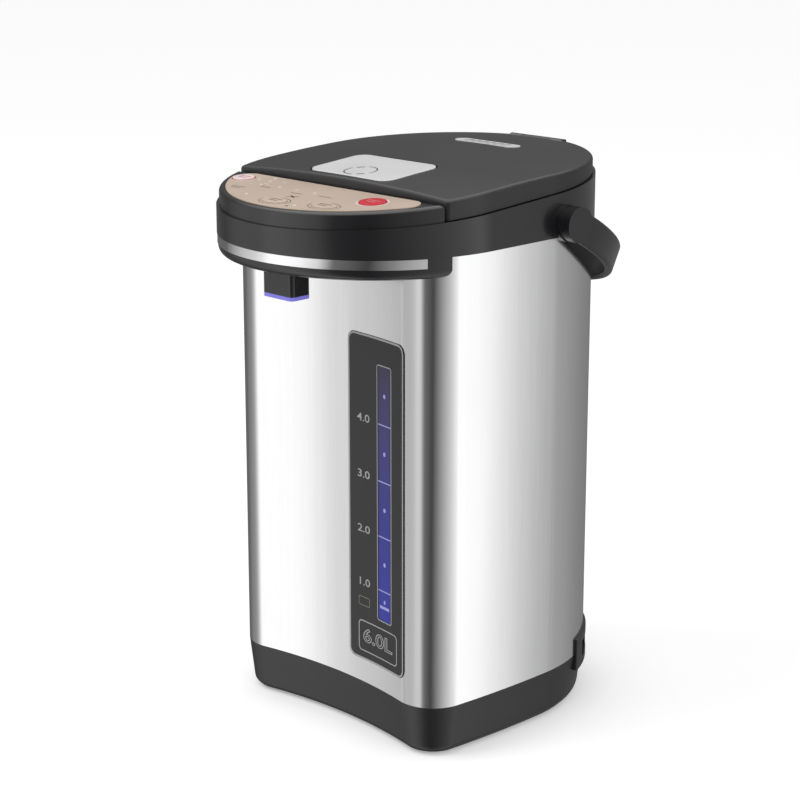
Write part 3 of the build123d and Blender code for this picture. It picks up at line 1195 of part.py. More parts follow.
def lever_finger():
    """Finger under the plate; its sloping rear face pushes the bolt back as it goes down."""
    top = lid_surface(0, FINGER_FRONT) - LEVER_SUNK - LEVER_THICK / 2
    rear = FINGER_FRONT + FINGER_THICK
    cam_top = (rear + CAM_HEIGHT, FINGER_TIP_Z + CAM_HEIGHT)
    profile = Polyline((FINGER_FRONT, FINGER_TIP_Z), (rear, FINGER_TIP_Z), cam_top,
                       (rear + CAM_HEIGHT, top), (FINGER_FRONT, top), close=True)
    return extrude(Plane.YZ * make_face(profile), FINGER_WIDTH / 2, both=True)


def make_lever_spring():
    """Return spring wound round the lever pin."""
    coil = Helix(SPRING_PITCH, SPRING_LENGTH, SPRING_COIL)
    start = Plane(origin=coil @ 0, z_dir=coil % 0)
    spring = sweep(start * Circle(SPRING_WIRE), path=coil)
    return Pos(-SPRING_LENGTH / 2, PIN_Y, lid_pin_z()) * Rot(0, 90, 0) * spring


def make_lever_pin():
    half = EAR_X + EAR_WIDTH / 2 + GAP + PEDESTAL_WIDTH
    return cross_rod(PIN_RADIUS, -half, half, PIN_Y, lid_pin_z())


def make_latch_bolt():
    """Flat bolt on the liner, with a bevelled tip and a window for the lever's finger."""
    solid = on_seam(0, -BOLT_TIP, BOLT_RISE, Box(2 * BOLT_HALF_WIDTH, BOLT_LENGTH, BOLT_THICK,
                                                 align=(Align.CENTER, Align.MIN, Align.MIN)))
    tip = solid.faces().sort_by(Axis.Y)[0].edges().sort_by(Axis.Z)[0]
    solid = chamfer(tip, BOLT_BEVEL)
    tip_rear = FINGER_FRONT + FINGER_THICK + CAM_GAP
    low = FINGER_TIP_Z - CAM_HEIGHT
    high = FINGER_TIP_Z + CAM_HEIGHT
    front = FINGER_FRONT - BOLT_TRAVEL + CAM_GAP
    profile = Polyline((front, low), (tip_rear - CAM_HEIGHT, low), (tip_rear + CAM_HEIGHT, high),
                       (front, high), close=True)
    window = extrude(Plane.YZ * make_face(profile), FINGER_WIDTH / 2 + GAP, both=True)
    return solid - window


def make_hinge_pin():
    return cross_rod(HINGE_PIN_RADIUS, -HINGE_HALF_WIDTH, HINGE_HALF_WIDTH, HINGE_Y, HINGE_Z)


# ================================================================ handle
def u_band(inner, outer):
    """Plan of a U-shaped band round the rear, its arms ending on the pivot line."""
    arc = Pos(0, ARM_STRAIGHT) * (Circle(outer) - Circle(inner))
    arc &= Pos(0, ARM_STRAIGHT) * Rectangle(BIG, BIG, align=(Align.CENTER, Align.MIN))
    arms = Rectangle(2 * outer, ARM_STRAIGHT, align=(Align.CENTER, Align.MIN))
    arms -= Rectangle(2 * inner, ARM_STRAIGHT, align=(Align.CENTER, Align.MIN))
    return arc + arms


def make_handle():
    outer = ARM_INNER + ARM_THICK
    band = Pos(0, 0, -BAND_WIDTH / 2) * extrude(u_band(ARM_INNER, outer), BAND_WIDTH)
    band = fillet(band.edges().filter_by(GeomType.CIRCLE), BAND_EDGE_RADIUS)
    for side in (-1, 1):
        x_low, x_high = sorted((side * ARM_INNER, side * outer))
        band += cross_rod(ARM_END_RADIUS, x_low, x_high, 0, 0)
        hole_end = ARM_INNER + HANDLE_PIN_DEPTH + GAP
        hole_low, hole_high = sorted((side * (ARM_INNER - GAP), side * hole_end))
        band -= cross_rod(HANDLE_PIN_RADIUS + RUN, hole_low, hole_high, 0, 0)
    return Pos(0, PIVOT_Y, PIVOT_Z) * Rot(-HANDLE_DROOP, 0, 0) * band


def make_handle_pins():
    pins = []
    for side in (-1, 1):
        shank_low, shank_high = sorted((side * BOSS_PAD, side * (ARM_INNER + HANDLE_PIN_DEPTH)))
        head_low, head_high = sorted((side * (BOSS_PAD - HANDLE_PIN_HEAD_THICK), side * BOSS_PAD))
        shank = cross_rod(HANDLE_PIN_RADIUS, shank_low, shank_high, PIVOT_Y, PIVOT_Z)
        head = cross_rod(HANDLE_PIN_HEAD, head_low, head_high, PIVOT_Y, PIVOT_Z)
        pins.append(shank + head)
    return pins


def make_pivot_washers():
    washers = []
    for side in (-1, 1):
        low, high = sorted((side * BOSS_FACE, side * (BOSS_FACE + WASHER_THICK)))
        disc = cross_rod(WASHER_RADIUS, low, high, PIVOT_Y, PIVOT_Z)
        washers.append(disc - cross_rod(HANDLE_PIN_RADIUS + RUN, low, high, PIVOT_Y, PIVOT_Z))
    return washers


MAKERS = {
    "base_housing": make_base_housing,
    "base_plate": make_base_plate,
    "foot_ring": make_foot_ring,
    "base_screws": make_base_screws,
    "steel_shell": make_steel_shell,
    "level_panel": make_level_panel,
    "level_lens": make_level_lens,
    "tube_channel": make_tube_channel,
    "level_tube": make_level_tube,
    "inner_pot": make_inner_pot,
    "outlet_filter": make_outlet_filter,
    "rim_support": make_rim_support,
    "insulation_sleeve": make_insulation_sleeve,
    "pot_seal": make_pot_seal,
    "heater_plate": make_heater_plate,
    "heater_element": make_heater_element,
    "thermostats": make_thermostats,
    "temperature_sensor": make_temperature_sensor,
    "pump_housing": make_pump_housing,
    "pump_motor": make_pump_motor,
    "pump_rotor": make_pump_rotor,
    "intake_hose": make_intake_hose,
    "riser_hose": make_riser_hose,
    "outlet_hose": make_outlet_hose,
    "power_board": make_power_board,
    "relay": make_relay,
    "power_inlet": make_power_inlet,
    "inlet_pins": make_inlet_pins,
    "collar": make_collar,
    "nose_lip": make_nose_lip,
    "chrome_strip": make_chrome_strip,
    "spout": make_spout,
    "spout_ring": make_spout_ring,
    "nozzle": make_nozzle,
    "panel_housing": make_panel_housing,
    "control_insert": make_control_insert,
    "indicator_lenses": make_indicator_lenses,
    "control_board": make_control_board,
    "key_switches": make_key_switches,
    "latch_keeper": make_latch_keeper,
    "lid_cover": make_lid_cover,
    "lid_liner": make_lid_liner,
    "lid_screws": make_lid_screws,
    "inner_lid": make_inner_lid,
    "lid_gasket": make_lid_gasket,
    "steam_duct": make_steam_duct,
    "steam_vent": make_steam_vent,
    "release_lever": make_release_lever,
    "lever_pin": make_lever_pin,
    "lever_spring": make_lever_spring,
    "latch_bolt": make_latch_bolt,
    "hinge_pin": make_hinge_pin,
    "handle": make_handle,
    "handle_pins": make_handle_pins,
    "pivot_washers": make_pivot_washers,
}


def main():
    os.makedirs("parts", exist_ok=True)
    for name, maker in MAKERS.items():
        shape = maker()
        if isinstance(shape, list):
            shape = Compound(children=shape)
        export_step(shape, f"parts/{name}.step")
    for name in BUTTONS:
        export_step(make_button(name), f"parts/{name}.step")


main()
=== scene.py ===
import json
import math

import bmesh
import bpy
from mathutils import Matrix, Vector


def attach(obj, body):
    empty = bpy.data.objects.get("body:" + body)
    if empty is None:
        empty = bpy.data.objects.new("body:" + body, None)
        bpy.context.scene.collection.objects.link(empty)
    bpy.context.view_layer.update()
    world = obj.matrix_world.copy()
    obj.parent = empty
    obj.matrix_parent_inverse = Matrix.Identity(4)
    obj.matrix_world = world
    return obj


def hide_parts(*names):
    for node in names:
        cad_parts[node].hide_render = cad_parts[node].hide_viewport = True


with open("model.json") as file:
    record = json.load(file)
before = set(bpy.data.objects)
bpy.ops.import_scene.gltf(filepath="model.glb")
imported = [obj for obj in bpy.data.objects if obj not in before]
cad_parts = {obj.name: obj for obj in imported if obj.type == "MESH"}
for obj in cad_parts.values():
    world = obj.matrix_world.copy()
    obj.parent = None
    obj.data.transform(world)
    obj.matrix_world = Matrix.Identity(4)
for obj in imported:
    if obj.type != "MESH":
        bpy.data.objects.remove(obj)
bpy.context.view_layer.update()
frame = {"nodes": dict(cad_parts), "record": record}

NODES = frame["nodes"]
BODIES = frame["record"]["behaviour"]["bodies"]
MM = 0.001


# ---------------------------------------------------------------- finishes
class Wire:
    """One value inside a finish. Arithmetic on it adds the Math nodes."""

    def __init__(self, finish, socket):
        self.finish = finish
        self.socket = socket

    def math(self, operation, *others):
        return self.finish.math(operation, self, *others)

    def __add__(self, other):
        return self.math("ADD", other)

    def __sub__(self, other):
        return self.math("SUBTRACT", other)

    def __rsub__(self, other):
        return self.finish.math("SUBTRACT", other, self)

    def __mul__(self, other):
        return self.math("MULTIPLY", other)

    def __truediv__(self, other):
        return self.math("DIVIDE", other)

    def below(self, other):
        return self.math("LESS_THAN", other)


class Made:
    """A node that was just made. Its outputs are read by name or number."""

    def __init__(self, finish, node):
        self.finish = finish
        self.made = node

    def __getitem__(self, output):
        return Wire(self.finish, self.made.outputs[output])


# Sockets of a Mix node that mixes colours: several share a name, so they go by number.
MIX_FACTOR, MIX_LOW, MIX_HIGH, MIX_RESULT = 0, 6, 7, 2


class Finish:
    """Node tree of one material or of the world."""

    def __init__(self, owner):
        owner.use_nodes = True
        self.owner = owner
        self.tree = owner.node_tree
        self.tree.nodes.clear()

    def node(self, kind, settings=None, sockets=None):
        node = self.tree.nodes.new(kind)
        for name, value in (settings or {}).items():
            if name == "stops":
                self.set_stops(node.color_ramp, value)
            else:
                setattr(node, name, value)
        for name, value in (sockets or {}).items():
            if isinstance(value, Wire):
                self.tree.links.new(value.socket, node.inputs[name])
            else:
                node.inputs[name].default_value = value
        return Made(self, node)

    def set_stops(self, ramp, stops):
        while len(ramp.elements) < len(stops):
            ramp.elements.new(1.0)
        for element, (place, colour) in zip(ramp.elements, stops):
            element.position = place
            element.color = colour

    def math(self, operation, *values):
        return self.node("ShaderNodeMath", {"operation": operation}, dict(enumerate(values)))["Value"]

    def place(self):
        return self.node("ShaderNodeTexCoord")["Object"]

    def axes(self, place):
        return self.node("ShaderNodeSeparateXYZ", None, {"Vector": place})

    def noise(self, place, scale, detail, stretch=(1.0, 1.0, 1.0)):
        scaled = self.node("ShaderNodeMapping", None, {"Vector": place, "Scale": stretch})["Vector"]
        sockets = {"Vector": scaled, "Scale": scale, "Detail": detail}
        return self.node("ShaderNodeTexNoise", None, sockets)["Fac"]

    def ramp(self, factor, stops):
        return self.node("ShaderNodeValToRGB", {"stops": stops}, {"Fac": factor})["Color"]

    def between(self, factor, low, high):
        """Colour that runs from low to high."""
        sockets = {MIX_FACTOR: factor, MIX_LOW: low, MIX_HIGH: high}
        return self.node("ShaderNodeMix", {"data_type": "RGBA"}, sockets)[MIX_RESULT]

    def bump(self, height, strength, depth):
        sockets = {"Height": height, "Strength": strength, "Distance": depth}
        return self.node("ShaderNodeBump", None, sockets)["Normal"]

    def either(self, factor, first, second):
        """The first shader where the factor is nought, the second where it is one."""
        return self.node("ShaderNodeMixShader", None, {0: factor, 1: first, 2: second})["Shader"]

    def close(self, **sockets):
        """Ends the finish in a Principled shader with these sockets."""
        named = {name.replace("_", " "): value for name, value in sockets.items()}
        shader = self.node("ShaderNodeBsdfPrincipled", None, named)["BSDF"]
        self.node("ShaderNodeOutputMaterial", None, {"Surface": shader})
        return self.owner


def rgba(red, green, blue):
    return (red, green, blue, 1.0)


WHITE = rgba(1, 1, 1)


def shade(colour, factor):
    return tuple(min(1.0, channel * factor) for channel in colour[:3]) + (1.0,)


def new_finish(name):
    return Finish(bpy.data.materials.new(name))


def moulded(name, colour, roughness, grain, relief, coat=0.0):
    """Plastic or rubber with a fine moulded grain and slightly uneven gloss."""
    made = new_finish(name)
    place = made.place()
    fine = made.noise(place, grain, detail=2.0)
    broad = made.noise(place, scale=22.0, detail=4.0)
    tint = made.between(broad, shade(colour, 0.88), shade(colour, 1.12))
    gloss = broad * 0.08 + fine * 0.04 + (roughness - 0.06)
    return made.close(Base_Color=tint, Roughness=gloss, Coat_Weight=coat, Coat_Roughness=0.08,
                      Normal=made.bump(fine, relief, depth=0.2 * MM))


# Painted shade on the steel shell: a dark band down each front corner.
PAINTED_SHADE_MIDDLE = 78.0 * MM       # middle of the painted shade band on each front corner, counted from the centre plane
PAINTED_SHADE_REACH = 7.5 * MM
PAINTED_SHADE_BRIGHTNESS = 0.1              # brightness of the painted shade band at its darkest, as a share of the metal's


def painted_shade_band(made, place):
    """One down the middle of the painted shade band on each front corner, nought elsewhere."""
    axes = made.axes(place)
    across = (axes["X"].math("ABSOLUTE") - PAINTED_SHADE_MIDDLE) / PAINTED_SHADE_REACH
    return (1.0 - across * across).math("MAXIMUM", 0.0) * axes["Y"].below(0.0)


def hairline(name, colour, roughness, relief, along=(1.0, 1.0, 0.012), painted_shade=0.0):
    """Metal brushed along one direction, with painted shade down the front corners, as deep as the
    painted_shade share.
    """
    made = new_finish(name)
    place = made.place()
    lines = made.noise(place, scale=2600.0, detail=2.0, stretch=along)
    wide_lines = made.noise(place, scale=420.0, detail=3.0, stretch=along)
    smudge = made.noise(place, scale=9.0, detail=4.0)
    mixed = lines * 0.6 + wide_lines * 0.4
    tint = made.between(mixed, shade(colour, 0.93), shade(colour, 1.06))
    # painted shade: the colour is darkened in a band down each front corner
    tint = made.between(painted_shade_band(made, place) * painted_shade, tint, shade(colour, PAINTED_SHADE_BRIGHTNESS))
    gloss = mixed * 0.08 + smudge * 0.05 + (roughness - 0.065)
    return made.close(Base_Color=tint, Metallic=1.0, Roughness=gloss,
                      Normal=made.bump(mixed, relief, depth=0.05 * MM))


def cast_metal(name, colour, roughness):
    """Plain metal with faint handling marks."""
    made = new_finish(name)
    place = made.place()
    broad = made.noise(place, scale=60.0, detail=5.0)
    tint = made.between(broad, shade(colour, 0.92), shade(colour, 1.05))
    return made.close(Base_Color=tint, Metallic=1.0, Roughness=broad * 0.1 + (roughness - 0.05),
                      Normal=made.bump(broad, strength=0.05, depth=0.2 * MM))


def clear_plastic(name, colour, roughness, through):
    made = new_finish(name)
    broad = made.noise(made.place(), scale=40.0, detail=3.0)
    tint = made.between(broad, shade(colour, 0.9), shade(colour, 1.1))
    return made.close(Base_Color=tint, Roughness=broad * 0.06 + roughness, Transmission_Weight=through)


def glowing(name, low, high, glow):
    """Frosted light guide with faint clouds in it."""
    made = new_finish(name)
    broad = made.noise(made.place(), scale=70.0, detail=3.0)
    tint = made.between(broad, low, high)
    return made.close(Base_Color=tint, Emission_Color=tint, Emission_Strength=glow,
                      Roughness=broad * 0.1 + 0.3)


GAUGE_X = 51.0                # middle of the gauge, in mm from the centre plane
GAUGE_FOOT = 87 * MM
GAUGE_TALL = 177 * MM
GAUGE_REACH = 7.3 * MM        # from the middle of the gauge to its edges
GAUGE_GLOW = 0.2
GAUGE_EDGE = rgba(0.01, 0.008, 0.05)
GAUGE_STOPS = [(0.0, rgba(0.014, 0.02, 0.27)), (0.4, rgba(0.016, 0.02, 0.2)),
               (0.72, rgba(0.03, 0.024, 0.13)), (1.0, rgba(0.025, 0.018, 0.05))]


def gauge_blue(name):
    """Blue gauge strip: deep violet at the top, clear blue lower down, darker along both edges."""
    made = new_finish(name)
    axes = made.axes(made.place())
    height = (axes["Z"] - GAUGE_FOOT) / GAUGE_TALL
    side = (axes["X"] - GAUGE_X * MM).math("ABSOLUTE") / GAUGE_REACH
    tint = made.between(side.math("POWER", 4.0) * 0.75, made.ramp(height, GAUGE_STOPS), GAUGE_EDGE)
    cloud = made.noise(made.place(), scale=90.0, detail=4.0)
    return made.close(Base_Color=tint, Emission_Color=tint, Emission_Strength=GAUGE_GLOW,
                      Roughness=cloud * 0.1 + 0.25)


TRACE_SCALE = 160.0
TRACE_WIDTH = 0.08            # as a share of the cells between the traces


def circuit_board(name):
    """Green board with copper traces under the lacquer."""
    made = new_finish(name)
    sockets = {"Vector": made.place(), "Scale": TRACE_SCALE}
    cells = made.node("ShaderNodeTexVoronoi", {"feature": "DISTANCE_TO_EDGE"}, sockets)
    trace = cells["Distance"].below(TRACE_WIDTH)
    tint = made.between(trace, rgba(0.015, 0.12, 0.05), rgba(0.05, 0.28, 0.1))
    return made.close(Base_Color=tint, Roughness=trace * 0.1 + 0.35,
                      Normal=made.bump(trace, strength=0.2, depth=0.1 * MM))


def felt(name, colour):
    made = new_finish(name)
    fibre = made.noise(made.place(), scale=900.0, detail=5.0, stretch=(1.0, 1.0, 0.3))
    tint = made.between(fibre, shade(colour, 0.8), shade(colour, 1.1))
    return made.close(Base_Color=tint, Roughness=fibre * 0.1 + 0.85,
                      Normal=made.bump(fibre, strength=0.6, depth=0.5 * MM))


# Moulded finishes give their colour, roughness, grain (waves in a metre), relief and sometimes a clear coat.
BLACK_GLOSS = moulded("head_gloss_black", rgba(0.012, 0.012, 0.0135), 0.22, 900.0, 0.01, coat=0.25)
LID_BLACK = moulded("lid_satin_black", rgba(0.016, 0.016, 0.018), 0.36, 1500.0, 0.05)
BASE_BLACK = moulded("base_satin_black", rgba(0.014, 0.014, 0.015), 0.34, 1800.0, 0.06)
# the shell steel carries painted shade down its front corners
SHELL_STEEL = hairline("shell_hairline_steel", rgba(0.86, 0.86, 0.865), 0.17, 0.05, painted_shade=0.62)
POT_STEEL = hairline("pot_spun_steel", rgba(0.8, 0.8, 0.79), 0.42, 0.08, along=(0.02, 0.02, 1.0))
SMALL_STEEL = cast_metal("fastener_steel", rgba(0.62, 0.62, 0.62), 0.3)
CHROME = cast_metal("bright_chrome", rgba(0.88, 0.88, 0.89), 0.09)
SILVER_PAINT = moulded("plate_silver_paint", rgba(0.78, 0.78, 0.79), 0.33, 2400.0, 0.04, coat=0.2)
WINDOW_PRINT = moulded("window_smoked_print", rgba(0.012, 0.011, 0.013), 0.3, 700.0, 0.01)
GAUGE = gauge_blue("gauge_blue")
CHANNEL_BLUE = moulded("channel_blue", rgba(0.04, 0.05, 0.6), 0.3, 900.0, 0.02)
TUBE_CLEAR = clear_plastic("tube_clear", rgba(0.85, 0.9, 1.0), 0.08, through=0.85)
GLOW_BLUE = glowing("spout_glow_blue", rgba(0.13, 0.12, 0.5), rgba(0.2, 0.18, 0.62), glow=0.45)
INSERT_BEIGE = moulded("insert_champagne", rgba(0.62, 0.49, 0.39), 0.36, 2200.0, 0.03, coat=0.15)
BUTTON_RED = moulded("button_red", rgba(0.66, 0.006, 0.022), 0.32, 1200.0, 0.02, coat=0.1)
BUTTON_PALE = moulded("button_pale_rose", rgba(0.86, 0.74, 0.74), 0.34, 1200.0, 0.02)
BUTTON_BEIGE = moulded("button_champagne", rgba(0.6, 0.48, 0.385), 0.38, 1200.0, 0.03)
LIGHT_WHITE = clear_plastic("light_frosted", rgba(0.95, 0.95, 0.93), 0.25, through=0.1)
SILICONE = moulded("silicone_grey", rgba(0.66, 0.66, 0.64), 0.5, 1600.0, 0.05)
FOOT_RUBBER = moulded("foot_rubber", rgba(0.02, 0.02, 0.02), 0.7, 2000.0, 0.2)
FELT = felt("insulation_felt", rgba(0.72, 0.72, 0.7))
BOARD_GREEN = circuit_board("circuit_board")
PART_WHITE = moulded("pump_white", rgba(0.75, 0.75, 0.73), 0.42, 1400.0, 0.05)
PART_DARK = moulded("part_dark", rgba(0.03, 0.03, 0.032), 0.5, 1800.0, 0.1)
HEATER_METAL = cast_metal("heater_aluminium", rgba(0.6, 0.6, 0.61), 0.35)
BRASS = cast_metal("contact_brass", rgba(0.75, 0.56, 0.25), 0.25)
PRINT_WHITE = moulded("print_white", rgba(0.8, 0.8, 0.8), 0.45, 1500.0, 0.02)
# dark print; on the vent it is painted shade in the slot mouths
DARK_PRINT_AND_SHADE = moulded("dark_print_and_painted_shade", rgba(0.03, 0.028, 0.026), 0.45, 1500.0, 0.02)
PRINT_GREY = moulded("print_grey", rgba(0.36, 0.36, 0.36), 0.45, 1500.0, 0.02)
PRINT_FAINT = moulded("print_faint", rgba(0.2, 0.18, 0.14), 0.45, 1500.0, 0.02)
PRINT_LILAC = moulded("print_lilac", rgba(0.36, 0.34, 0.72), 0.4, 1500.0, 0.02)
PRINT_BLUSH = moulded("print_blush", rgba(0.8, 0.3, 0.32), 0.45, 1500.0, 0.02)
PRINT_RED = moulded("print_red", rgba(0.6, 0.02, 0.03), 0.4, 1500.0, 0.02)


# ---------------------------------------------------------------- skins
# Nodes with curved faces: a merged, smoothly shaded skin stands for each.
SKINS = {
    "base_housing": BASE_BLACK, "steel_shell": SHELL_STEEL, "power_inlet": BASE_BLACK,
    "collar": BLACK_GLOSS, "nose_lip": BLACK_GLOSS, "chrome_strip": CHROME, "spout": BLACK_GLOSS,
    "spout_ring": GLOW_BLUE, "panel_housing": BLACK_GLOSS, "control_insert": INSERT_BEIGE,
    "lid_cover": LID_BLACK, "release_lever": SILVER_PAINT, "steam_vent": SILVER_PAINT,
    "handle": BLACK_GLOSS, "pivot_washers": BASE_BLACK, "level_panel": WINDOW_PRINT, "level_lens": GAUGE,
    "inner_pot": POT_STEEL, "inner_lid": POT_STEEL, "lid_liner": BASE_BLACK, "lid_gasket": SILICONE,
    "foot_ring": FOOT_RUBBER, "dispense_button": BUTTON_RED, "unlock_button": BUTTON_PALE,
    "reboil_button": BUTTON_BEIGE, "temperature_button": BUTTON_BEIGE, "hinge_pin": SMALL_STEEL,
    "handle_pins": SMALL_STEEL, "nozzle": PART_WHITE,
}
# The other nodes keep their own mesh and only get a finish.
PLAIN = {
    "base_plate": BASE_BLACK, "base_screws": SMALL_STEEL, "tube_channel": CHANNEL_BLUE,
    "level_tube": TUBE_CLEAR, "outlet_filter": SMALL_STEEL, "rim_support": PART_DARK,
    "insulation_sleeve": FELT, "pot_seal": SILICONE, "heater_plate": HEATER_METAL,
    "heater_element": SMALL_STEEL, "thermostats": PART_DARK, "temperature_sensor": SMALL_STEEL,
    "pump_housing": PART_WHITE, "pump_motor": SMALL_STEEL, "pump_rotor": PART_WHITE,
    "intake_hose": SILICONE, "riser_hose": SILICONE, "outlet_hose": SILICONE, "power_board": BOARD_GREEN,
    "relay": PART_DARK, "inlet_pins": BRASS, "indicator_lenses": LIGHT_WHITE,
    "control_board": BOARD_GREEN, "key_switches": PART_DARK, "latch_keeper": SMALL_STEEL,
    "lid_screws": SMALL_STEEL, "steam_duct": SILICONE, "lever_pin": SMALL_STEEL,
    "lever_spring": SMALL_STEEL, "latch_bolt": PART_DARK,
}
# Width of the small rounding, in mm, on the edges that catch the light.
SOFT_EDGES = {"collar": 0.5, "lid_cover": 0.6, "panel_housing": 0.5, "nose_lip": 0.5,
              "release_lever": 0.4, "spout": 0.5, "handle": 0.4, "base_housing": 0.5}
BODY_OF = {node: body for body, members in BODIES.items() for node in members}
SHARP_EDGE = math.radians(32)
SKIN_MERGE = 0.002 * MM       # corners of a node's mesh that are closer than this are one
MARK_MERGE = 0.001 * MM


def add_piece(name, mesh, finish, body):
    """Object at the origin that rides on a body."""
    piece = bpy.data.objects.new(name, mesh)
    bpy.context.scene.collection.objects.link(piece)
    mesh.materials.clear()
    mesh.materials.append(finish)
    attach(piece, body)
    return piece


def shade_by_angle(form, sharp):
    for face in form.faces:
        face.smooth = True
    for edge in form.edges:
        edge.smooth = len(edge.link_faces) == 2 and edge.calc_face_angle(0.0) < sharp


def add_skin(node, finish):
    """Merged copy of a node's mesh, shaded smooth except at its real edges."""
    form = bmesh.new()
    form.from_mesh(NODES[node].data)
    bmesh.ops.remove_doubles(form, verts=form.verts, dist=SKIN_MERGE)
    shade_by_angle(form, SHARP_EDGE)
    mesh = bpy.data.meshes.new(node + "_skin")
    form.to_mesh(mesh)
    form.free()
    skin = add_piece(node + "_skin", mesh, finish, BODY_OF[node])
    if node in SOFT_EDGES:
        softening = skin.modifiers.new("soft_edges", "BEVEL")
        softening.width = SOFT_EDGES[node] * MM
        softening.segments = 2
        softening.angle_limit = SHARP_EDGE
    weighting = skin.modifiers.new("even_shading", "WEIGHTED_NORMAL")
    weighting.keep_sharp = True
    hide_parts(node)
    return skin


def dress_nodes():
    """Gives every node its skin or finish. The steel doesn't mirror the glowing ring under the spout."""
    for node, finish in SKINS.items():
        skin = add_skin(node, finish)
        skin.visible_glossy = finish is not GLOW_BLUE
    for node, finish in PLAIN.items():
        NODES[node].data.materials.clear()
        NODES[node].data.materials.append(finish)


# ---------------------------------------------------------------- surfaces that carry marks
SEAM_HEIGHT = 372.3 * MM      # of the leaning joint under the lid, above the origin
SEAM_LEAN = math.atan(0.069)
INSERT_FACE = 11.1 * MM       # face of the control insert above the joint
HOUSING_REAR = 97.9 * MM
INK = 0.05 * MM               # marks stand this far above the surface that carries them
FRONT_AXIS = 430.2 * MM       # axis of the hollow front, in front of the pot
FRONT_RADIUS = 330.0 * MM
PANEL_PROUD = 0.5 * MM        # the level window and the gauge lens stand this far out of the front
LENS_PROUD = 0.3 * MM
PLATE_LEAN = math.atan(0.0838)
PLATE_CENTRE = Vector((0, -63.9, 385.74)) * MM
VENT_Y = 48.0 * MM
VENT_FACE = 390.7 * MM


def on_insert(x, forward, rise=0.0):
    """Place on the face of the control insert, counted from its housing's rear wall."""
    along = -(HOUSING_REAR + forward * MM) / math.cos(SEAM_LEAN)
    tilt = Matrix.Translation((0, 0, SEAM_HEIGHT)) @ Matrix.Rotation(SEAM_LEAN, 4, "X")
    return tilt @ Matrix.Translation((x * MM, along, INSERT_FACE + rise * MM + INK))


def on_plate(x, y):
    """Place on the silver release plate, counted from its middle."""
    tilt = Matrix.Translation(PLATE_CENTRE) @ Matrix.Rotation(PLATE_LEAN, 4, "X")
    return tilt @ Matrix.Translation((x * MM, y * MM, INK))


def turn_about_origin(form, verts, angle, axis):
    turn = Matrix.Rotation(math.radians(angle), 3, axis)
    bmesh.ops.rotate(form, verts=verts, cent=(0, 0, 0), matrix=turn)


def wrap_on_front(form, x, z, proud):
    """Stands a flat mark upright on the hollow front."""
    bmesh.ops.translate(form, verts=form.verts, vec=(x * MM, z * MM, 0))
    turn_about_origin(form, form.verts, 90, "X")
    reach = FRONT_RADIUS - proud - INK
    for vertex in form.verts:
        vertex.co.y -= FRONT_AXIS - math.sqrt(reach**2 - vertex.co.x**2)


# ---------------------------------------------------------------- shapes of marks, sizes in mm
CORNER_STEPS = 32             # steps round the four corners of a frame
FRAME_CUTS = 12               # a frame's level edges are cut, so that they can follow the hollow front
OVAL_STEPS = 64
SPOT_STEPS = 32
BAR_STEPS = 8
ARC_STEPS = 16


def rounded_loop(form, half_x, half_y, corner):
    """Rectangle with rounded corners, made by pulling the quarters of a circle apart."""
    turn = Matrix.Rotation(math.pi / CORNER_STEPS, 4, "Z")
    loop = bmesh.ops.create_circle(form, segments=CORNER_STEPS, radius=corner * MM, matrix=turn)["verts"]
    for vertex in loop:
        vertex.co.x += math.copysign((half_x - corner) * MM, vertex.co.x)
        vertex.co.y += math.copysign((half_y - corner) * MM, vertex.co.y)
    return {edge for vertex in loop for edge in vertex.link_edges}


def rounded_frame(form, half_x, half_y, corner, width):
    """Flat frame with rounded corners, its inner edge at the given half sizes."""
    edges = rounded_loop(form, half_x + width, half_y + width, corner + width)
    edges |= rounded_loop(form, half_x, half_y, corner)
    bmesh.ops.bridge_loops(form, edges=list(edges))
    level = [edge for edge in form.edges if abs(edge.verts[0].co.x - edge.verts[1].co.x) > 3 * corner * MM]
    bmesh.ops.subdivide_edges(form, edges=level, cuts=FRAME_CUTS, use_grid_fill=True)


def oval_band(form, half_x, half_y, width):
    """Flat oval ring."""
    edges = []
    for grow in (width, 0.0):
        circle = bmesh.ops.create_circle(form, segments=OVAL_STEPS, radius=1.0)["verts"]
        bmesh.ops.scale(form, verts=circle, vec=((half_x + grow) * MM, (half_y + grow) * MM, 1))
        edges += {edge for vertex in circle for edge in vertex.link_edges}
    bmesh.ops.bridge_loops(form, edges=edges)


def spot(form, half_x, half_y):
    circle = bmesh.ops.create_circle(form, cap_ends=True, segments=SPOT_STEPS, radius=1.0)["verts"]
    bmesh.ops.scale(form, verts=circle, vec=(half_x * MM, half_y * MM, 1))


def bar(form, half_x, half_y, turn=0.0):
    sheet = bmesh.ops.create_grid(form, x_segments=BAR_STEPS, y_segments=1, size=1.0)["verts"]
    bmesh.ops.scale(form, verts=sheet, vec=(half_x * MM, half_y * MM, 1))
    turn_about_origin(form, sheet, turn, "Z")


def arc(form, radius, width, start, sweep):
    """Flat piece of a ring, swept from a short line."""
    ends = []
    for reach in (radius - width / 2, radius + width / 2):
        ends += bmesh.ops.create_vert(form, co=(reach * MM, 0, 0))["vert"]
    line = bmesh.ops.contextual_create(form, geom=ends)["edges"]
    turn_about_origin(form, ends, start, "Z")
    bmesh.ops.spin(form, geom=ends + line, cent=(0, 0, 0), axis=(0, 0, 1), angle=math.radians(sweep),
                   steps=ARC_STEPS, use_merge=False)


def lettering(form, words, size, stretch, bold):
    """Plain figures as flat faces, centred and widened."""
    curve = bpy.data.curves.new("figures", "FONT")
    curve.body = words
    curve.size = size * MM
    curve.offset = bold * MM
    curve.align_x = "CENTER"
    curve.align_y = "CENTER"
    curve.resolution_u = 4
    holder = bpy.data.objects.new("figures", curve)
    bpy.context.scene.collection.objects.link(holder)
    form.from_mesh(holder.evaluated_get(bpy.context.evaluated_depsgraph_get()).to_mesh())
    bmesh.ops.scale(form, verts=form.verts, vec=(stretch, 1, 1))
    bpy.data.objects.remove(holder)


